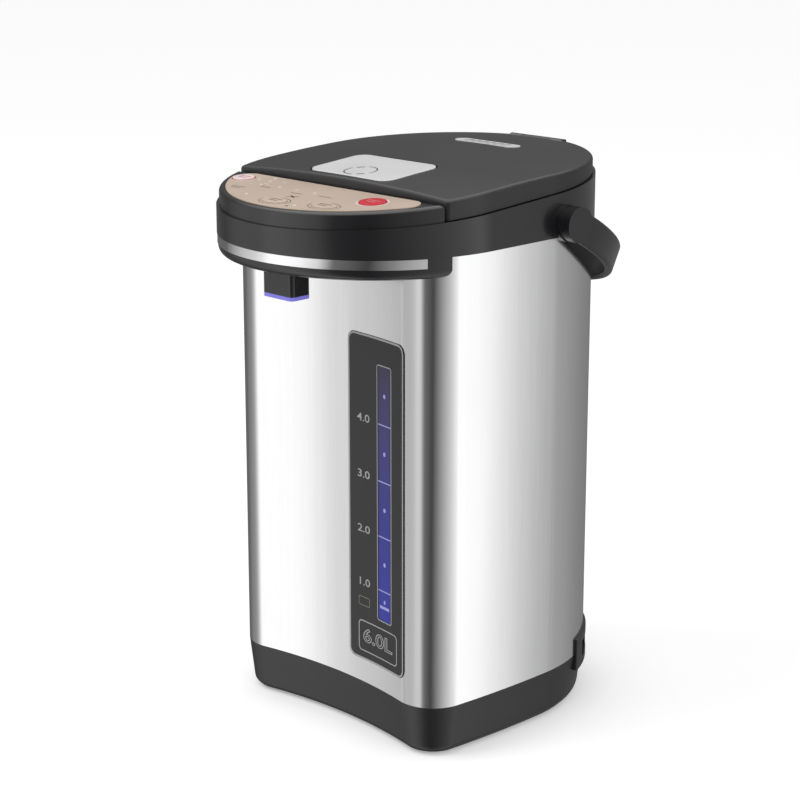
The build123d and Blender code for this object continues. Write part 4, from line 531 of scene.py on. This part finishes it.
class Marks:
    """Flat marks of one colour that ride on one node."""

    def __init__(self, name, node, finish, proud=0.0):
        self.name = name
        self.node = node
        self.finish = finish
        self.proud = proud
        self.whole = bmesh.new()

    def add(self, draw, *sizes, place=None, front=None):
        """Draws one mark and puts it at a place matrix, or on the hollow front at (x, z)."""
        form = bmesh.new()
        draw(form, *sizes)
        if front:
            wrap_on_front(form, *front, self.proud)
        else:
            bmesh.ops.transform(form, matrix=place, verts=form.verts)
        scratch = bpy.data.meshes.new("mark")
        form.to_mesh(scratch)
        form.free()
        self.whole.from_mesh(scratch)
        bpy.data.meshes.remove(scratch)

    def finish_piece(self):
        bmesh.ops.remove_doubles(self.whole, verts=self.whole.verts, dist=MARK_MERGE)
        mesh = bpy.data.meshes.new(self.name)
        self.whole.to_mesh(mesh)
        self.whole.free()
        return add_piece(self.name, mesh, self.finish, BODY_OF[self.node])


# ---------------------------------------------------------------- marks on the level window
# Places are in mm: x from the centre plane and z from the ground.
LITRE_MARKS = {"4.0": 224.4, "3.0": 185.2, "2.0": 146.6, "1.0": 108.6}
LITRE_LINE = (6.9, 0.4)       # half length and half width
FIGURE_X = 28.6
FIGURE_LIFT = 0.6             # a figure's middle stands this far above its line
FIGURE_STYLE = (7.6, 1.45, 0.05)      # size, widening, weight
GAUGE_DOTS = [244.3, 204.8, 165.9, 127.6]
GAUGE_DOT = (1.3, 1.5)
LOW_DOT, LOW_DOT_Z = (1.0, 1.4), 101.0
LOW_LINE, LOW_LINE_Z = (5.2, 1.0), 96.9
CAPACITY = "6.0L"
CAPACITY_PLACE = (43.4, 70.8)
CAPACITY_OUTLINE = (13.5, 1.4, 0.4)
CAPACITY_FILL = (13.5, 1.4, -0.2)
# Frames: half width, half height, inner corner and line width, then the place of the middle.
CAPACITY_FRAME, CAPACITY_FRAME_PLACE = (20.5, 10.4, 2.6, 0.8), (44.0, 70.4)
GAUGE_FRAME, GAUGE_FRAME_PLACE = (7.4, 88.5, 1.6, 0.7), (GAUGE_X, 175.8)
WINDOW_FRAME, WINDOW_FRAME_PLACE = (28.55, 113.5, 5.0, 1.35), (43.0, 167.95)
SMALL_FRAME, SMALL_FRAME_PLACE = (5.4, 2.8, 0.6, 0.5), (28.8, 95.4)


def add_window_marks():
    grey = Marks("window_marks", "level_panel", PRINT_GREY, PANEL_PROUD)
    for words, z in LITRE_MARKS.items():
        grey.add(lettering, words, *FIGURE_STYLE, front=(FIGURE_X, z + FIGURE_LIFT))
    grey.add(rounded_frame, *CAPACITY_FRAME, front=CAPACITY_FRAME_PLACE)
    grey.add(lettering, CAPACITY, *CAPACITY_OUTLINE, front=CAPACITY_PLACE)
    grey.add(rounded_frame, *GAUGE_FRAME, front=GAUGE_FRAME_PLACE)
    grey.add(rounded_frame, *WINDOW_FRAME, front=WINDOW_FRAME_PLACE)
    grey.finish_piece()
    dark = Marks("window_figure_fill", "level_panel", WINDOW_PRINT, PANEL_PROUD + INK)
    dark.add(lettering, CAPACITY, *CAPACITY_FILL, front=CAPACITY_PLACE)
    dark.finish_piece()
    faint = Marks("window_small_frame", "level_panel", PRINT_FAINT, PANEL_PROUD)
    faint.add(rounded_frame, *SMALL_FRAME, front=SMALL_FRAME_PLACE)
    faint.finish_piece()
    glow = Marks("gauge_marks", "level_lens", PRINT_LILAC, LENS_PROUD)
    for z in LITRE_MARKS.values():
        glow.add(bar, *LITRE_LINE, front=(GAUGE_X, z))
    for z in GAUGE_DOTS:
        glow.add(spot, *GAUGE_DOT, front=(GAUGE_X, z))
    glow.add(spot, *LOW_DOT, front=(GAUGE_X, LOW_DOT_Z))
    glow.add(bar, *LOW_LINE, front=(GAUGE_X, LOW_LINE_Z))
    glow.finish_piece()


# ---------------------------------------------------------------- marks on the head
# Places on the insert are in mm: x from the centre plane, then forward of its housing's rear wall.
DISPENSE_PLACE = (54.9, 19.5)
UNLOCK_PLACE = (-74.9, 15.0)
REBOIL_PLACE = (-3.0, 51.0)
TEMPERATURE_PLACE = (36.0, 44.0)
STAR_PLACE = (-2, 36.5)
DOT_PLACE = (14.5, 56.5)
# Dashes: x, forward, half length.
WHITE_DASHES = ((-57, 24.5, 2.2), (-46, 20.0, 3.0), (-38.5, 10.5, 2.6))
DARK_DASHES = ((-57, 35, 6), (-57, 38, 4.5), (-40, 26.5, 5), (-7, 28.5, 5.5), (17, 25.5, 6))
DASH_HALF = 0.35              # half the width of a dash
WHITE_DASH_TURN = -12
# Oval bands round the buttons: half width, half depth, line width.
DISPENSE_BAND = (9.9, 9.4, 1.1)
UNLOCK_BAND = (8.35, 7.35, 0.6)
BEIGE_BAND = (12.2, 8.0, 0.45)
STAR_SPOT = (1.6, 1.3)
STAR_RAY = (4.5, 0.4)
STAR_TURNS = (30, -30)
LONE_DOT = (1.2, 1.0)

BUTTON_RISE = 0.9             # the buttons stand this far above the insert
LEGENDS = {
    "reboil_button": (REBOIL_PLACE, DARK_PRINT_AND_SHADE),
    "temperature_button": (TEMPERATURE_PLACE, DARK_PRINT_AND_SHADE),
    "dispense_button": (DISPENSE_PLACE, PRINT_BLUSH),
    "unlock_button": (UNLOCK_PLACE, PRINT_RED),
}
LEGEND_DASHES = ((-1.6, 5.5), (1.6, 4.0))     # step forward and half length
LEGEND_HALF = 0.45

RING_PLACE = (0, -12)
# Ring on the release plate: radius, width, start and sweep in degrees.
RING_ARCS = ((11.2, 0.9, 165, 120), (11.2, 0.9, -15, 120), (10.2, 1.6, 120, 30), (10.2, 1.6, -60, 30))

VENT_SLOTS = 6
VENT_PITCH = 7.0 * MM
VENT_SLANT = math.radians(30)
VENT_SHADE_BAR = (1.1, 3.8)       # half width and half length of each bar of painted shade


def add_insert_marks():
    white = Marks("insert_white_marks", "control_insert", PRINT_WHITE)
    white.add(oval_band, *DISPENSE_BAND, place=on_insert(*DISPENSE_PLACE))
    for x, forward, half in WHITE_DASHES:
        white.add(bar, half, DASH_HALF, WHITE_DASH_TURN, place=on_insert(x, forward))
    white.finish_piece()
    red = Marks("insert_red_rim", "control_insert", PRINT_RED)
    red.add(oval_band, *UNLOCK_BAND, place=on_insert(*UNLOCK_PLACE))
    red.finish_piece()
    dark = Marks("insert_dark_marks", "control_insert", DARK_PRINT_AND_SHADE)
    for button in (REBOIL_PLACE, TEMPERATURE_PLACE):
        dark.add(oval_band, *BEIGE_BAND, place=on_insert(*button))
    for x, forward, half in DARK_DASHES:
        dark.add(bar, half, DASH_HALF, place=on_insert(x, forward))
    dark.add(spot, *STAR_SPOT, place=on_insert(*STAR_PLACE))
    for turn in STAR_TURNS:
        dark.add(bar, *STAR_RAY, turn, place=on_insert(*STAR_PLACE))
    dark.add(spot, *LONE_DOT, place=on_insert(*DOT_PLACE))
    dark.finish_piece()


def add_button_marks():
    """Two short dashes on each button, where a legend would stand."""
    for node, ((x, forward), finish) in LEGENDS.items():
        marks = Marks(node + "_marks", node, finish)
        for step, half in LEGEND_DASHES:
            marks.add(bar, half, LEGEND_HALF, place=on_insert(x, forward + step, BUTTON_RISE))
        marks.finish_piece()


def add_plate_mark():
    """Thin broken ring on the release plate, with a short thicker piece in each gap."""
    marks = Marks("plate_ring", "release_lever", DARK_PRINT_AND_SHADE)
    for sizes in RING_ARCS:
        marks.add(arc, *sizes, place=on_plate(*RING_PLACE))
    marks.finish_piece()


def add_vent_slot_shade():
    """Painted shade in the mouths of the vent's slanted slots: dark bars on its face."""
    marks = Marks("vent_slot_painted_shade", "steam_vent", DARK_PRINT_AND_SHADE)
    for index in range(VENT_SLOTS):
        x = (index - (VENT_SLOTS - 1) / 2) * VENT_PITCH
        place = Matrix.Translation((x, VENT_Y, VENT_FACE)) @ Matrix.Rotation(-VENT_SLANT, 4, "Z")
        # one bar of painted shade on each slot's mouth
        marks.add(bar, *VENT_SHADE_BAR, place=place)
    marks.finish_piece()


# ---------------------------------------------------------------- stage
CAMERA_AZIMUTH = math.radians(45.04)
CAMERA_RISE = math.radians(14.29)
CAMERA_DISTANCE = 1463.4 * MM
CAMERA_LENS = 93.29           # in mm, like the sensor
SENSOR_WIDTH = 36
CAMERA_ASIDE = -27.60 * MM
CAMERA_AIM = 241.22 * MM      # height that the camera looks at, over the origin
CAMERA_SHIFT = -0.05          # upwards, as a share of the sensor's width
CAMERA_REACH = 100

# Studio walls as brightness by compass direction, in degrees from +X towards +Y.
STUDIO_WALLS = [
    (-180, 0.16), (-156, 0.58), (-141, 0.72), (-134, 0.86), (-126, 1.18), (-115, 1.2), (-97, 1.0),
    (-86, 0.75), (-75, 0.16), (-50, 0.05), (-26, 0.32), (-2, 0.6), (21, 0.92), (33, 1.26), (37, 1.22),
    (43, 0.7), (50, 0.4), (64, 0.36), (90, 0.26), (110, 0.22), (150, 0.14),
]
STUDIO_CEILING = 2.2          # lights the rounded edges; no wall is brighter
CEILING_START = 0.45          # sine of the height angle where the walls start to turn into the ceiling
CEILING_BLEND = 0.35
ALL_ROUND_LIGHT = 0.72        # on everything that isn't a mirror
BACKDROP = 1.0
FLOOR_REACH = 6.0
FLOOR_GLOW = 0.28             # keeps the floor as white as the backdrop for the camera
FLOOR_LOW, FLOOR_HIGH = rgba(0.93, 0.93, 0.93), rgba(0.95, 0.95, 0.95)
LAMP_AIM = Vector((0, 0, 0.2))


def add_camera():
    level = Vector((-math.sin(CAMERA_AZIMUTH), math.cos(CAMERA_AZIMUTH), 0))
    aside = Vector((math.cos(CAMERA_AZIMUTH), math.sin(CAMERA_AZIMUTH), 0))
    look = level * math.cos(CAMERA_RISE) - Vector((0, 0, math.sin(CAMERA_RISE)))
    data = bpy.data.cameras.new("camera")
    data.lens = CAMERA_LENS
    data.sensor_width = SENSOR_WIDTH
    data.shift_y = CAMERA_SHIFT
    data.clip_end = CAMERA_REACH
    camera = bpy.data.objects.new("camera", data)
    camera.location = aside * CAMERA_ASIDE + Vector((0, 0, CAMERA_AIM)) - look * CAMERA_DISTANCE
    camera.rotation_euler = look.to_track_quat("-Z", "Y").to_euler()
    bpy.context.scene.collection.objects.link(camera)
    bpy.context.scene.camera = camera


def is_mirrored(rays):
    """One for a ray that a mirror or clear plastic sends out."""
    return rays["Is Glossy Ray"].math("MAXIMUM", rays["Is Transmission Ray"])


def background(made, colour, strength):
    return made.node("ShaderNodeBackground", None, {"Color": colour, "Strength": strength})["Background"]


def add_world():
    """White all round for the camera and for matt surfaces, walls and a ceiling for mirrors."""
    world = bpy.data.worlds.new("studio")
    bpy.context.scene.world = world
    made = Finish(world)
    axes = made.axes(made.node("ShaderNodeTexCoord")["Generated"])
    turn = axes["Y"].math("ARCTAN2", axes["X"]) / math.tau + 0.5
    walls = made.ramp(turn, [(angle / 360 + 0.5, shade(WHITE, level / STUDIO_CEILING))
                             for angle, level in STUDIO_WALLS])
    seen = made.between((axes["Z"] - CEILING_START) / CEILING_BLEND, walls, WHITE)
    rays = made.node("ShaderNodeLightPath")
    lit = made.either(is_mirrored(rays), background(made, WHITE, ALL_ROUND_LIGHT),
                      background(made, seen, STUDIO_CEILING))
    shown = made.either(rays["Is Camera Ray"], lit, background(made, WHITE, BACKDROP))
    made.node("ShaderNodeOutputWorld", None, {"Surface": shown})


def floor_finish():
    """White floor that keeps the shadow, and that mirrors see through to the studio walls."""
    made = new_finish("floor_white")
    rays = made.node("ShaderNodeLightPath")
    grain = made.noise(made.place(), scale=30.0, detail=3.0)
    tint = made.between(grain, FLOOR_LOW, FLOOR_HIGH)
    matte = made.node("ShaderNodeBsdfDiffuse", None, {"Color": tint})["BSDF"]
    lift = made.node("ShaderNodeEmission", None, {"Color": WHITE, "Strength": FLOOR_GLOW})["Emission"]
    both = made.node("ShaderNodeAddShader", None, {0: matte, 1: lift})["Shader"]
    clear = made.node("ShaderNodeBsdfTransparent")["BSDF"]
    whole = made.either(is_mirrored(rays), made.either(rays["Is Camera Ray"], matte, both), clear)
    made.node("ShaderNodeOutputMaterial", None, {"Surface": whole})
    return made.owner


def add_floor():
    form = bmesh.new()
    bmesh.ops.create_grid(form, x_segments=4, y_segments=4, size=FLOOR_REACH)
    mesh = bpy.data.meshes.new("floor")
    form.to_mesh(mesh)
    form.free()
    mesh.materials.append(floor_finish())
    floor = bpy.data.objects.new("floor", mesh)
    bpy.context.scene.collection.objects.link(floor)


def add_lamp(name, place, side, power):
    """Square lamp that no mirror shows."""
    data = bpy.data.lights.new(name, "AREA")
    data.size = side
    data.energy = power
    lamp = bpy.data.objects.new(name, data)
    lamp.location = place
    lamp.rotation_euler = (LAMP_AIM - Vector(place)).to_track_quat("-Z", "Y").to_euler()
    lamp.visible_glossy = False
    bpy.context.scene.collection.objects.link(lamp)


def add_stage():
    add_camera()
    add_world()
    add_floor()
    add_lamp("key", place=(-0.9, -1.3, 1.9), side=1.2, power=14)
    add_lamp("fill", place=(1.6, -0.4, 1.1), side=1.4, power=5)


def main():
    bpy.context.scene.view_settings.view_transform = "Standard"
    add_stage()
    dress_nodes()
    add_window_marks()
    add_insert_marks()
    add_button_marks()
    add_plate_mark()
    add_vent_slot_shade()


main()
